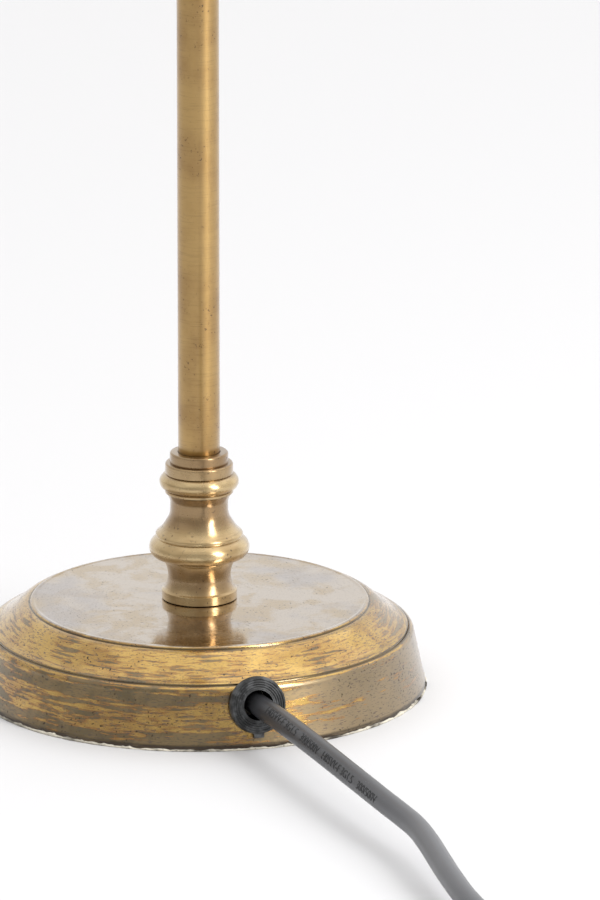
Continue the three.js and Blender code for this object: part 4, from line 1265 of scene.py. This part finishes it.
# %% Rim and felt
def ragged_rim():
    """A thin ring whose outer and upper points wander in and out."""
    outline = [(BASE_R - 2.2, 0.15), (BASE_R + 0.15, 0.1), (BASE_R + 0.5, 0.5),
               (BASE_R + 0.25, 1.0), (BASE_R - 0.5, 1.15), (BASE_R - 2.2, 1.15)]
    bm = turned(outline, steps=420)
    for vert in bm.verts:
        around = Vector((vert.co.x, vert.co.y, 0))
        aim = around.normalized()
        wander = noise.noise(around * 210) + 0.6 * noise.noise(around * 620)
        if around.length > (BASE_R - 1) * MM:
            vert.co += aim * wander * 0.0005
        if vert.co.z > 0.5 * MM:
            vert.co.z = max(vert.co.z + wander * 0.0008, 0.1 * MM)
    return bm


finish_piece("rim_paint_line", ragged_rim(), RIM_PUTTY, "stand")
low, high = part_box("felt_pad")
felt_r, felt_t = high.x / MM, high.z / MM
felt = [(0, 0), (felt_r - 0.6, 0), (felt_r, 0.5), (felt_r, felt_t - 0.4), (felt_r - 0.5, felt_t),
        (0, felt_t)]
finish_piece("felt_disc", turned(felt, 120), FELT, "stand", ["felt_pad"])

# %% [markdown]
# ## The grommet
# A push-in rubber grommet with a wide ridged flange. The ridges are moulded rings, so they belong in
# the outline rather than in the bump. A small tab of flash sticks out at its lowest point.

# %% Cord grommet
def grommet():
    """A flange with five moulded rings round the cord's hole, set square to the wall."""
    bore, neck, flange, thick = 6.75, 7.9, 12.75, 4.2
    face = []
    for i in range(5):
        reach = flange - 1.3 - i * 1.02
        face += [(reach, thick + 0.06 * i), (reach - 0.28, thick - 0.24 + 0.06 * i),
                 (reach - 0.62, thick + 0.02 + 0.06 * i)]
    rim = smooth_line([(flange - 0.4, 0.3), (flange, 1.2), (flange - 0.05, 2.4),
                       (flange - 0.5, 3.6), (flange - 1.1, thick)], 4)
    lip = smooth_line([(bore + 0.5, thick + 0.15), (bore + 0.1, thick - 0.3),
                       (bore, thick - 1.2)], 4)
    outline = [(bore, -6), (neck - 0.4, -6), (neck, -5), (neck, 0.3), *rim, *face, *lip]
    bm = turned(outline, 96)
    tab = slab([(-flange - 1.8, -2.2), (-flange + 1, -2.4), (-flange + 1, 2.4),
                (-flange - 1.8, 2.2)], 0.4, 2.1)
    bm = carve(bm, tab, operation="UNION")
    return at_gland(bm)


finish_piece("cord_grommet_moulded", grommet(), RUBBER, "stand", ["cord_grommet"], 0.12)

# %% [markdown]
# ## The turned neck and the stem
# Each turned piece is an outline spun on the lathe axis. Beads and hollows are smooth lines, and the
# corners between them stay crisp, because a turner cuts them with the edge of the tool.

# %% Neck
FOOT_Z, FOOT_TOP, VASE_TOP = 40.9, 59.5, 98.6
RING_H = 4.6


def neck_foot():
    """The lowest turned piece: a plain fillet under a waisted hollow."""
    z = FOOT_Z
    outline = [(NIPPLE_R, z), (16.6, z), (16.9, z + 0.3), (16.9, z + 4), (16.6, z + 4.3)]
    outline += smooth_line([
        (15.9, z + 4.7), (14.9, z + 6.8), (14.2, z + 9.2), (14.1, z + 11.4), (14.5, z + 13.9),
        (15.2, z + 16), (15.9, z + 17.4), (16.6, FOOT_TOP - 0.3),
    ], 5)
    outline += [(16.6, FOOT_TOP), (NIPPLE_R, FOOT_TOP)]
    return turned(outline, 128)


def neck_vase():
    """A wide bead, a long hollow and a smaller bead, with crisp fillets between them."""
    z = FOOT_TOP + 0.1
    outline = [(NIPPLE_R, z), (17.2, z), (17.7, z + 0.3)]
    outline += smooth_line([
        (18.4, z + 0.5), (20.6, z + 1.3), (22, z + 2.9), (22.45, z + 4.8), (22.1, z + 6.7),
        (21, z + 8.3), (19.6, z + 9.5),
    ], 5)
    outline += [(19.0, z + 9.9), (18.9, z + 10.3), (19.5, z + 10.6), (19.55, z + 11.3)]
    outline += smooth_line([
        (19.2, z + 11.8), (17.4, z + 13.4), (15.9, z + 15.4), (14.6, z + 17.5),
        (13.6, z + 19.4), (13.1, z + 21.5), (13, z + 24), (13.1, z + 26.4), (13.6, z + 28),
        (14.4, z + 29.6),
    ], 5)
    outline += [(14.8, z + 30.3), (15.3, z + 30.5), (15.3, z + 31.4), (14.9, z + 31.8)]
    outline += smooth_line([
        (15.6, z + 32.2), (17, z + 33.1), (17.75, z + 35), (17.5, z + 36.7), (16.4, z + 38.2),
    ], 5)
    outline += [(15.2, VASE_TOP), (NIPPLE_R, VASE_TOP)]
    return turned(outline, 128)


def neck_ring(low, radius):
    """A plain ring with a softened upper edge."""
    bore = 9.6
    top = low + RING_H + 0.3
    side = smooth_line([(radius - 0.25, low), (radius, low + 0.5), (radius, top - 1.2),
                        (radius - 0.12, top - 0.5), (radius - 0.55, top - 0.05)], 4)
    return turned([(bore, low), *side, (radius - 1, top), (bore, top)], 128)


finish_piece("neck_foot_turned", neck_foot(), NECK_BRASS, "stand", ["neck_foot"])
finish_piece("neck_vase_turned", neck_vase(), NECK_BRASS, "stand", ["neck_vase"])
for node, radius in (("neck_ring_lower", 15.2), ("neck_ring_upper", 13.1)):
    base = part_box(node)[0].z / MM
    ring = neck_ring(base - 0.15, radius)
    finish_piece(node + "_turned", ring, NECK_BRASS, "stand", [node])


# %% Tubes
def tube(node, material, body, wall, axis=(0, 0, 1), steps=96):
    """A drawn tube where the frame has it, with its ends just eased."""
    low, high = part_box(node)
    run = 2 if axis[2] else 0
    side = 0 if run else 1
    radius = (high[side] - low[side]) / 2 / MM
    middle = (low + high) / 2 / MM
    start, end = low[run] / MM, high[run] / MM
    count = 24  # rings along the tube, so that no face is long and thin
    outer = [(radius, start + 0.3 + (end - start - 0.6) * i / count) for i in range(count + 1)]
    outline = [(radius - wall, start), (radius - 0.25, start), *outer, (radius - 0.25, end),
               (radius - wall, end)]
    bm = turned(outline, steps, axis)
    moved(bm, 0, 0, 0 if run else middle[2])
    return finish_piece(node + "_drawn", bm, material, body, [node])


tube("stem_tube", TUBE_BRASS, "stand", 1.2)
tube("mast_tube", TUBE_BRASS, "mast", 1.0)
tube("arm_tube", TUBE_BRASS_X, "arm", 1.0, (1, 0, 0))

# %% [markdown]
# ## The upper lamp
# A split collar clamps the thin mast in the stem. On the mast sit a swivel, a friction knuckle, the
# arm, a second knuckle, and the half-barrel shade with its switch. Every moving piece rides on the
# body that moves it, and holes are real holes, so nothing catches when a joint turns.

# %% Knurls and uprights
def knurl(bm, radius, ridges, depth):
    """Raises ridges along a turned knob by pushing its outer points in and out."""
    for vert in bm.verts:
        x, y = vert.co.x / MM, vert.co.y / MM
        reach = math.hypot(x, y)
        if reach > radius - 0.6:
            grown = 1 - depth * (0.5 - 0.5 * math.cos(ridges * math.atan2(y, x))) / reach
            vert.co.x *= grown
            vert.co.y *= grown
    return bm


def upright(outline, start, end):
    """A flat plate drawn in X and Z, from start to end along Y."""
    bm = slab(outline, -end, -start)
    turn = Matrix.Rotation(math.radians(90), 3, "X")
    bmesh.ops.rotate(bm, verts=bm.verts, cent=(0, 0, 0), matrix=turn)
    return bm


# %% Collar and thumbscrew
COLLAR_TOP, CLAMP_Z = 778, 769
Y_AXIS, X_AXIS = (0, 1, 0), (1, 0, 0)

collar = turned([
    (9.85, 740), (11, 740), (11.6, 740.4), *smooth_line([
        (12.3, 741.8), (12.6, 743), (12.6, 750.6), (12.9, 752.6), (13.7, 753.8), (14, 755),
    ], 4), (14, 757), (13.4, 757.3), (13.4, 758.3), (14, 758.6), (14, 773.6), *smooth_line([
        (13.9, 775), (13.2, 776.6), (11.8, 777.6), (10.4, COLLAR_TOP),
    ], 4), (9.3, COLLAR_TOP), (9.3, 760.4), (9.85, 760.4),
], 128)
hole = moved(turned([(0, 0), (2.85, 0), (2.85, 20), (0, 20)], 48, Y_AXIS), 0, 0, CLAMP_Z)
finish_piece("clamp_collar_turned", carve(collar, hole), TURNED_BRASS, "stand", ["clamp_collar"])
screw = turned([
    (0, 7.5), (2.5, 7.6), (2.5, 15.6), (4.2, 15.7), (4.2, 16.1), (7.2, 16.2), (8.6, 16.7),
    (9, 17.6), (9, 23.4), (8.6, 24.3), (7.6, 24.8), (4.5, 24.9), (3.5, 24.5), (0, 24.4),
], 160)
lay_along(knurl(screw, 9, 40, 0.5), Y_AXIS)
finish_piece("clamp_thumbscrew_turned", moved(screw, 0, 0, CLAMP_Z), TURNED_BRASS_Y, "height_lock",
             ["clamp_thumbscrew"])

# %% Mast cap and swivel
cap = turned([
    (3.2, 1078), (5.85, 1078), (5.85, 1100.2), (8.9, 1100.2), *smooth_line([
        (9.2, 1100.4), (9.5, 1101.2), (9.5, 1103), (9.2, 1103.9),
    ], 4), (5, 1104), (5, 1121.3), (3.2, 1121.3),
], 96)
finish_piece("mast_cap_turned", cap, TURNED_BRASS, "mast", ["mast_cap"])
swivel = turned([
    (5.4, 1104.3), (8.8, 1104.3), *smooth_line([
        (9.4, 1104.5), (10, 1105.6), (10, 1110.4), (10.4, 1111.6), (11.3, 1112.2), (11.5, 1113),
    ], 4), (11.5, 1115), (11, 1115.3), (11, 1116.1), (11.5, 1116.4), (11.5, 1120.6),
    (11.1, 1121.7), (10.2, 1122.3), (8.2, 1122.3), (8.2, 1117.8), (5.4, 1117.8),
], 96)
finish_piece("swivel_body_turned", swivel, TURNED_BRASS, "head", ["swivel_body"])

# %% [markdown]
# Both knuckles have the same pieces: a fork, two friction washers, a screw and a knurled knob. They
# are made once round the origin and moved to their pivots, the second one turned a quarter circle.

# %% Knuckle pieces
PIVOT_Z = 1144.6
END_X = 237.6
EAR_IN, EAR_OUT, EAR_R, STRAP, DROP, BRIDGE = 5.6, 10.6, 12, 8, 17, 5
PIVOT_HOLE_R = 3.35


def pivot_hole():
    """What the pivot screw's hole takes out of an ear or a tongue."""
    return turned([(0, -14), (PIVOT_HOLE_R, -14), (PIVOT_HOLE_R, 14), (0, 14)], 48, Y_AXIS)


def fork(spigot):
    """Two round ears on a bridge, with a bore for the lead and, if asked, a spigot for the tube."""
    meet = -math.degrees(math.acos(STRAP / EAR_R))
    foot = -DROP - BRIDGE
    outline = [*arc(EAR_R, meet, 180 - meet, 64), (-STRAP, foot + 1.5), (-STRAP + 1.5, foot),
               (STRAP - 1.5, foot), (STRAP, foot + 1.5)]
    ears = [upright(outline, EAR_IN, EAR_OUT), upright(outline, -EAR_OUT, -EAR_IN)]
    base = [(-STRAP, foot + 1.5), (-STRAP + 1.5, foot), (STRAP - 1.5, foot), (STRAP, foot + 1.5),
            (STRAP, -DROP), (-STRAP, -DROP)]
    joined = [ears[1], upright(base, -EAR_OUT + 0.2, EAR_OUT - 0.2)]
    if spigot:
        joined.append(turned([(0, foot - spigot), (5, foot - spigot), (5, foot + 1),
                              (0, foot + 1)], 64))
    body = carve(ears[0], *joined, operation="UNION")
    bore = turned([(0, foot - spigot - 2), (3.2, foot - spigot - 2), (3.2, -DROP + 1),
                   (0, -DROP + 1)], 48)
    return carve(body, pivot_hole(), bore)


def washer_on_y(start):
    """A thin friction washer on the pivot's axis."""
    return turned([(3.4, start), (9.8, start), (10, start + 0.2), (10, start + 0.8),
                   (9.8, start + 1), (3.4, start + 1)], 64, Y_AXIS)


def pivot_screw():
    """A slotted cheese-head screw whose head bears on the near ear."""
    head = EAR_OUT + 0.3
    bm = turned([
        (0, -head - 4), (5.2, -head - 3.9), (6.2, -head - 3.2), (6.5, -head - 2.4),
        (6.5, -head - 0.2), (6.3, -head), (3, -head), (3, 17.4), (2.7, 17.6), (0, 17.6),
    ], 64)
    slot = slab([(-8, -0.6), (8, -0.6), (8, 0.6), (-8, 0.6)], -head - 6, -head - 2.6)
    return lay_along(carve(bm, slot), Y_AXIS)


def pivot_knob():
    """A knurled knob with a shoulder that bears on the far ear."""
    start = EAR_OUT + 0.3
    end = start + 12
    bm = turned([
        (3.35, start), (6.2, start), (6.5, start + 0.3), (6.5, start + 2.6), (8, start + 3.2),
        (9, start + 4.2), (9, end - 1.8), (8.6, end - 0.8), (7.6, end - 0.2), (4.6, end),
        (3.8, end - 0.35), (0, end - 0.4), (0, start + 7.5), (3.35, start + 7.5),
    ], 160)
    return lay_along(knurl(bm, 9, 40, 0.45), Y_AXIS)


# %% Both knuckles
for prefix, fork_node, body, lock, spigot, pivot in (
    ("head", "head_clevis", "head", "head_lock", 0, (0, 0, PIVOT_Z)),
    ("shade", "arm_end_clevis", "arm", "shade_lock", 15, (END_X, 0, PIVOT_Z)),
):
    fork_piece = fork(spigot)
    if spigot:
        lay_along(fork_piece, X_AXIS)
    finish_piece(fork_node + "_milled", moved(fork_piece, *pivot), TURNED_BRASS_Y, body,
                 [fork_node], 0.5, 3)
    for node, start in (("washer_near", -5.3), ("washer_far", 4.3)):
        finish_piece(f"{prefix}_{node}_cut", moved(washer_on_y(start), *pivot), NYLON, body,
                     [f"{prefix}_{node}"])
    finish_piece(f"{prefix}_pivot_screw_slotted", moved(pivot_screw(), *pivot), STEEL, body,
                 [f"{prefix}_pivot_screw"])
    finish_piece(f"{prefix}_knob_knurled", moved(pivot_knob(), *pivot), TURNED_BRASS_Y, lock,
                 [f"{prefix}_knob"])


# %% Tongues and ferrules
def tongue(stem_outline):
    """The round tongue between the ears, its block, and a turned stem along +X."""
    round_end = [*arc(11.7, 31, 329, 64), (18, -4), (18, 4)]
    flat = upright([p for p in round_end if p[0] <= 10] + [(10, -4), (18, -4), (18, 4), (10, 4)],
                   -4, 4)
    body = carve(flat, turned(stem_outline, 96, X_AXIS), operation="UNION")
    return carve(body, pivot_hole())


arm_tongue = tongue([
    (0, 16), (5.9, 16), (6.35, 16.4), (6.35, 19), (5.05, 19), (5.05, 34.3), (3.2, 34.3),
    (3.2, 23), (0, 23),
])
finish_piece("arm_knuckle_milled", moved(arm_tongue, 0, 0, PIVOT_Z), TURNED_BRASS_X, "arm",
             ["arm_knuckle"], 0.4, 3)
shade_tongue = tongue([
    (0, 16), (8, 16), *smooth_line([(8.6, 16.2), (9, 17), (9, 19), (9, 22), (8.7, 22.9)], 3),
    (5, 23), (5, 38.4), (3.2, 38.4), (3.2, 19), (0, 19),
])
finish_piece("shade_knuckle_milled", moved(shade_tongue, END_X, 0, PIVOT_Z), TURNED_BRASS_X,
             "lamp_carrier", ["shade_knuckle"], 0.4, 3)
for node, start in (("arm_ferrule_inner", 20.3), ("arm_ferrule_outer", 207.3)):
    end = start + 7
    band = turned([
        (6.55, start), *smooth_line([(7.4, start), (8.3, start + 0.5), (8.6, start + 1.6),
                                     (8.2, start + 2.6)], 4),
        (7.9, start + 3.1), (7.9, end - 3.1), *smooth_line([
            (8.2, end - 2.6), (8.6, end - 1.6), (8.3, end - 0.5), (7.4, end)], 4), (6.55, end),
    ], 96, X_AXIS)
    finish_piece(node + "_turned", moved(band, 0, 0, PIVOT_Z), TURNED_BRASS_X, "arm", [node])

# %% [markdown]
# ## The shade and the lampholder
# The shade is a closed barrel with its underside cut away. Its inside is enamelled white, so the
# faces that look towards the axis take a second material.

# %% Shade
SHADE_X = END_X + 25.1
SHADE_L, SHADE_R, SHADE_WALL, END_ROUND = 210, 50, 0.9, 13


def barrel(inset):
    """A closed barrel with rounded ends, smaller all round by inset."""
    radius, bend = SHADE_R - inset, END_ROUND - inset
    near = arc(bend, -90, 0, 16, (radius - bend, SHADE_X + inset + bend))
    far = arc(bend, 0, 90, 16, (radius - bend, SHADE_X + SHADE_L - inset - bend))
    run = far[0][1] - near[-1][1]
    sides = [(radius, near[-1][1] + run * i / 16) for i in range(1, 16)]
    return turned([(0, SHADE_X + inset), *near, *sides, *far, (0, SHADE_X + SHADE_L - inset)], 160,
                  X_AXIS)


def shade_shell():
    """The barrel's wall without its underside, with a hole in each end."""
    cut = slab([(SHADE_X - 5, -60), (SHADE_X + SHADE_L + 5, -60), (SHADE_X + SHADE_L + 5, 60),
                (SHADE_X - 5, 60)], -60, -8)
    near = turned([(0, SHADE_X - 1), (5.35, SHADE_X - 1), (5.35, SHADE_X + 5),
                   (0, SHADE_X + 5)], 64, X_AXIS)
    end = SHADE_X + SHADE_L
    far = turned([(0, end - 5), (5.1, end - 5), (5.1, end + 1), (0, end + 1)], 64, X_AXIS)
    bm = carve(barrel(0), barrel(SHADE_WALL), cut, near, far)
    for face in bm.faces:  # a face that looks towards the axis is inside, and is enamelled
        spot = face.calc_center_median() / MM
        core = min(max(spot.x, SHADE_X + END_ROUND), end - END_ROUND)
        outward = Vector((spot.x - core, spot.y, spot.z))
        rim = face.normal.z < -0.9 and spot.z < -7.9
        face.material_index = 1 if outward.dot(face.normal) < 0 and not rim else 0
    return bm


finish_piece("shade_shell_spun", moved(shade_shell(), 0, 0, PIVOT_Z),
             (SHADE_BRASS, ENAMEL), "shade", ["shade_shell"])
for node, start in (("shade_washer_outer", 23.3), ("shade_washer_inner", 26.3)):
    ring = turned([(5.35, start), (11.7, start), (12, start + 0.3), (12, start + 1.2),
                   (11.7, start + 1.5), (5.35, start + 1.5)], 96, X_AXIS)
    finish_piece(node + "_cut", moved(ring, END_X, 0, PIVOT_Z), NYLON, "lamp_carrier", [node])


# %% Lampholder and bulb
def on_carrier(name, outline, material, nodes):
    """A turned piece on the shade's axis that doesn't roll with the shade."""
    bm = moved(turned(outline, 96, X_AXIS), END_X, 0, PIVOT_Z)
    return finish_piece(name, bm, material, "lamp_carrier", nodes)


HOLDER_X, SHELL_X, GLASS_X = 32.4, 47.7, 81.8
on_carrier("lampholder_cap_spun", [
    (5.3, HOLDER_X), (9, HOLDER_X), *smooth_line([
        (9.8, HOLDER_X + 0.2), (12.4, HOLDER_X + 2.6), (14, HOLDER_X + 6.4), (14.5, HOLDER_X + 9),
    ], 5), (14.5, HOLDER_X + 15), (13, HOLDER_X + 15), (13, HOLDER_X + 8), (5.3, HOLDER_X + 5),
], TURNED_BRASS_X, ["lampholder_cap"])
shell = [(13, SHELL_X), (14.2, SHELL_X), (14.5, SHELL_X + 0.3), (14.5, SHELL_X + 3)]
shell += [(14.5 - 0.35 * (i % 2), SHELL_X + 3.6 + i * 0.6) for i in range(8)]
shell += [(14.5, SHELL_X + 9), (14.5, SHELL_X + 33.2), (14.2, SHELL_X + 34), (13, SHELL_X + 34)]
on_carrier("lampholder_shell_spun", shell, TURNED_BRASS_X, ["lampholder_shell"])
glass_end = GLASS_X + 78
glass = [(0, GLASS_X), (6.7, GLASS_X), *smooth_line([
    (6.9, GLASS_X + 0.4), (8.6, GLASS_X + 3.6), (11.6, GLASS_X + 8.6), (13.6, GLASS_X + 12.6),
    (14, GLASS_X + 17), (14, GLASS_X + 40),
], 5), *arc(14, 0, 90, 20, (0, glass_end - 14))[:-1], (0, glass_end)]
on_carrier("bulb_glass_blown", glass, FROSTED, ["bulb_glass"])


# %% Switch
def on_shade(name, outline, material, nodes, body="shade", ridges=0):
    """A turned piece on the shade's far end, with ridges for the fingers if asked."""
    bm = turned(outline, 160 if ridges else 96)
    if ridges:
        knurl(bm, 9.5, ridges, 0.5)
    lay_along(bm, X_AXIS)
    return finish_piece(name, moved(bm, 0, 0, PIVOT_Z), material, body, nodes)


FACE = SHADE_X + SHADE_L - 1.2
on_shade("rotary_switch_moulded", [
    (0, FACE - 20), (11.4, FACE - 20), (12, FACE - 19.4), (12, FACE - 0.5), (11.5, FACE),
    (4.8, FACE), (4.8, FACE + 5.6), (2.9, FACE + 5.6), (2.9, FACE + 14.9), (0, FACE + 14.9),
], PHENOLIC, ["rotary_switch"])
on_shade("switch_nut_turned", [
    (5.1, FACE + 1.5), (7.4, FACE + 1.5), (8, FACE + 2), (8, FACE + 3.6), (7.4, FACE + 4.1),
    (5.1, FACE + 4.1),
], NICKEL, ["switch_nut"])
KNOB_X = FACE + 5.9
on_shade("switch_knob_moulded", [
    (3.25, KNOB_X), (8.8, KNOB_X), (9.5, KNOB_X + 0.8), (9.45, KNOB_X + 2), (9.1, KNOB_X + 11.6),
    (8.6, KNOB_X + 13), (7.4, KNOB_X + 13.9), (5.4, KNOB_X + 14), (4.8, KNOB_X + 13.6),
    (0, KNOB_X + 13.5), (0, KNOB_X + 9.5), (3.25, KNOB_X + 9.5),
], PHENOLIC, ["switch_knob"], "switch_dial", 20)

# %% Switch lead
lead_route = [
    (212.9, 6), (202.9, 8), (190.9, 20), (182.9, 37.3), (170.9, 43.3), (132.9, 43.3),
    (66.4, 43.3), (48.4, 40.3), (39.4, 29.3), (37.4, 17.5),
]
lead_points = [(END_X + x, 0, PIVOT_Z + z) for x, z in lead_route]
switch_lead, _ = bent_line("switch_lead_sheath", lead_points, 1.8, LEAD_PVC, 3, 12)
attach(switch_lead, "shade")
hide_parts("switch_lead")

# %% [markdown]
# ## Light and floor
# A white sweep, a broad soft light overhead, a tall soft light to the camera's right that draws the
# bright line down the tube, and a soft light behind and to the right that throws the shadow forward
# and to the left. The room on the camera's side is dimmer, which is what gives polished metal its
# dark reflections.

# %% Floor
FLOOR_RADIUS = 14
floor_bm = bmesh.new()
bmesh.ops.create_circle(floor_bm, cap_ends=True, radius=FLOOR_RADIUS, segments=96)
floor_mesh = bpy.data.meshes.new("floor")
floor_bm.to_mesh(floor_mesh)
floor_bm.free()
floor = bpy.data.objects.new("floor", floor_mesh)
scene.collection.objects.link(floor)
floor_material, floor_tree, floor_shader = new_material(
    "matt_white_sweep", Base_Color=linear("#DEDEE0"), Roughness=0.9,
)
floor_mesh.materials.append(floor_material)
print("floor of", FLOOR_RADIUS, "m")


# %% Lights
def soft_light(name, azimuth, elevation, distance, width, height, power):
    """An area light aimed at the base; azimuth is to the camera's right of the lamp."""
    data = bpy.data.lights.new(name, "AREA")
    data.shape = "RECTANGLE"
    data.size = width
    data.size_y = height
    data.energy = power
    lamp = bpy.data.objects.new(name, data)
    scene.collection.objects.link(lamp)
    turn = math.radians(azimuth)
    flat = level * math.cos(turn) + right * math.sin(turn)
    lift = math.radians(elevation)
    aim = flat * math.cos(lift) + Vector((0, 0, math.sin(lift)))
    lamp.location = Vector((0, 0, 0.15)) + aim * distance
    lamp.rotation_euler = aim.to_track_quat("Z", "Y").to_euler()
    print(name, "light,", power, "W")
    return lamp


soft_light("overhead", 0, 89, 2.8, 3.0, 3.0, 10.5)
soft_light("tall_right", 50, 28, 1.9, 0.45, 1.4, 23)
soft_light("back_right", 122, 60, 2.4, 2.2, 2.2, 7.5)
background = soft_light("background", 180, 38, 5.2, 5, 3, 60)
background.visible_glossy = False  # it lights the sweep, and polished edges don't mirror it

# %% [markdown]
# The room is what polished brass mirrors, so it is lit unevenly: brighter to the camera's right,
# brighter behind the lamp, and brightest overhead, but less so above the camera. What the camera
# sees past the floor is plain white.

# %% The room
world = bpy.data.worlds.new("studio")
scene.world = world
world.use_nodes = True
sky = world.node_tree
sky.nodes.clear()
spot = add_node(sky, "ShaderNodeTexCoord", output="Generated")
facing = add_node(sky, "ShaderNodeVectorMath", {0: spot, 1: tuple(level)}, operation="DOT_PRODUCT")
sideways = add_node(
    sky, "ShaderNodeVectorMath", {0: spot, 1: tuple(right)}, operation="DOT_PRODUCT",
)
height = add_node(sky, "ShaderNodeSeparateXYZ", {0: spot}, output=2)
side_fill = add_node(
    sky, "ShaderNodeMapRange",
    {"Value": sideways, "From Min": 0.2, "From Max": 0.8, "To Max": 0.38},
    interpolation_type="SMOOTHSTEP",
)
back_fill = add_node(
    sky, "ShaderNodeMapRange",
    {"Value": facing, "From Min": -0.75, "From Max": -0.05, "To Min": 0.4, "To Max": 0.0},
    interpolation_type="SMOOTHSTEP",
)
room = add_node(
    sky, "ShaderNodeMath",
    {0: add_node(sky, "ShaderNodeMath", {0: side_fill, 1: back_fill}, operation="ADD"), 1: 0.56},
    operation="ADD",
)
ceiling = add_node(
    sky, "ShaderNodeMath",
    {
        0: add_node(
            sky, "ShaderNodeMapRange",
            {"Value": height, "From Min": 0.15, "From Max": 0.5, "To Max": 0.85},
            interpolation_type="SMOOTHSTEP",
        ),
        1: add_node(
            sky, "ShaderNodeMapRange",
            {"Value": facing, "From Min": 0.45, "From Max": 0.75, "To Max": -0.3},
            interpolation_type="SMOOTHSTEP",
        ),
    },
    operation="ADD",
)
lifted = add_node(sky, "ShaderNodeMath", {0: room, 1: ceiling}, operation="MAXIMUM")
seen = add_node(sky, "ShaderNodeLightPath", output="Is Camera Ray")
level_of_light = add_node(sky, "ShaderNodeMix", {0: seen, 2: lifted, 3: 1.0}, data_type="FLOAT")
shine = add_node(
    sky, "ShaderNodeBackground", {"Color": linear("#FFFEFC"), "Strength": level_of_light},
)
add_node(sky, "ShaderNodeOutputWorld", {"Surface": shine})

# %% Carried-over pieces still take a finish
CARRIED = {
    "turned_brass": TURNED_BRASS, "tube_brass": TUBE_BRASS, "aged_brass": AGED_BRASS,
    "shade_brass": SHADE_BRASS, "cast_iron": IRON, "steel": STEEL, "nickel": NICKEL,
    "felt": FELT, "rubber": RUBBER, "cord_pvc": CORD_PVC, "lead_pvc": LEAD_PVC, "nylon": NYLON,
    "phenolic": PHENOLIC, "ceramic": PORCELAIN, "bulb_glass": FROSTED,
}
print(len(CARRIED), "finishes for the carried-over pieces")
for entry in frame["record"]["subparts"]:
    node_object = frame["nodes"][entry["node"]]
    for index in range(len(node_object.material_slots)):
        node_object.material_slots[index].material = CARRIED[entry["material_slot"]]
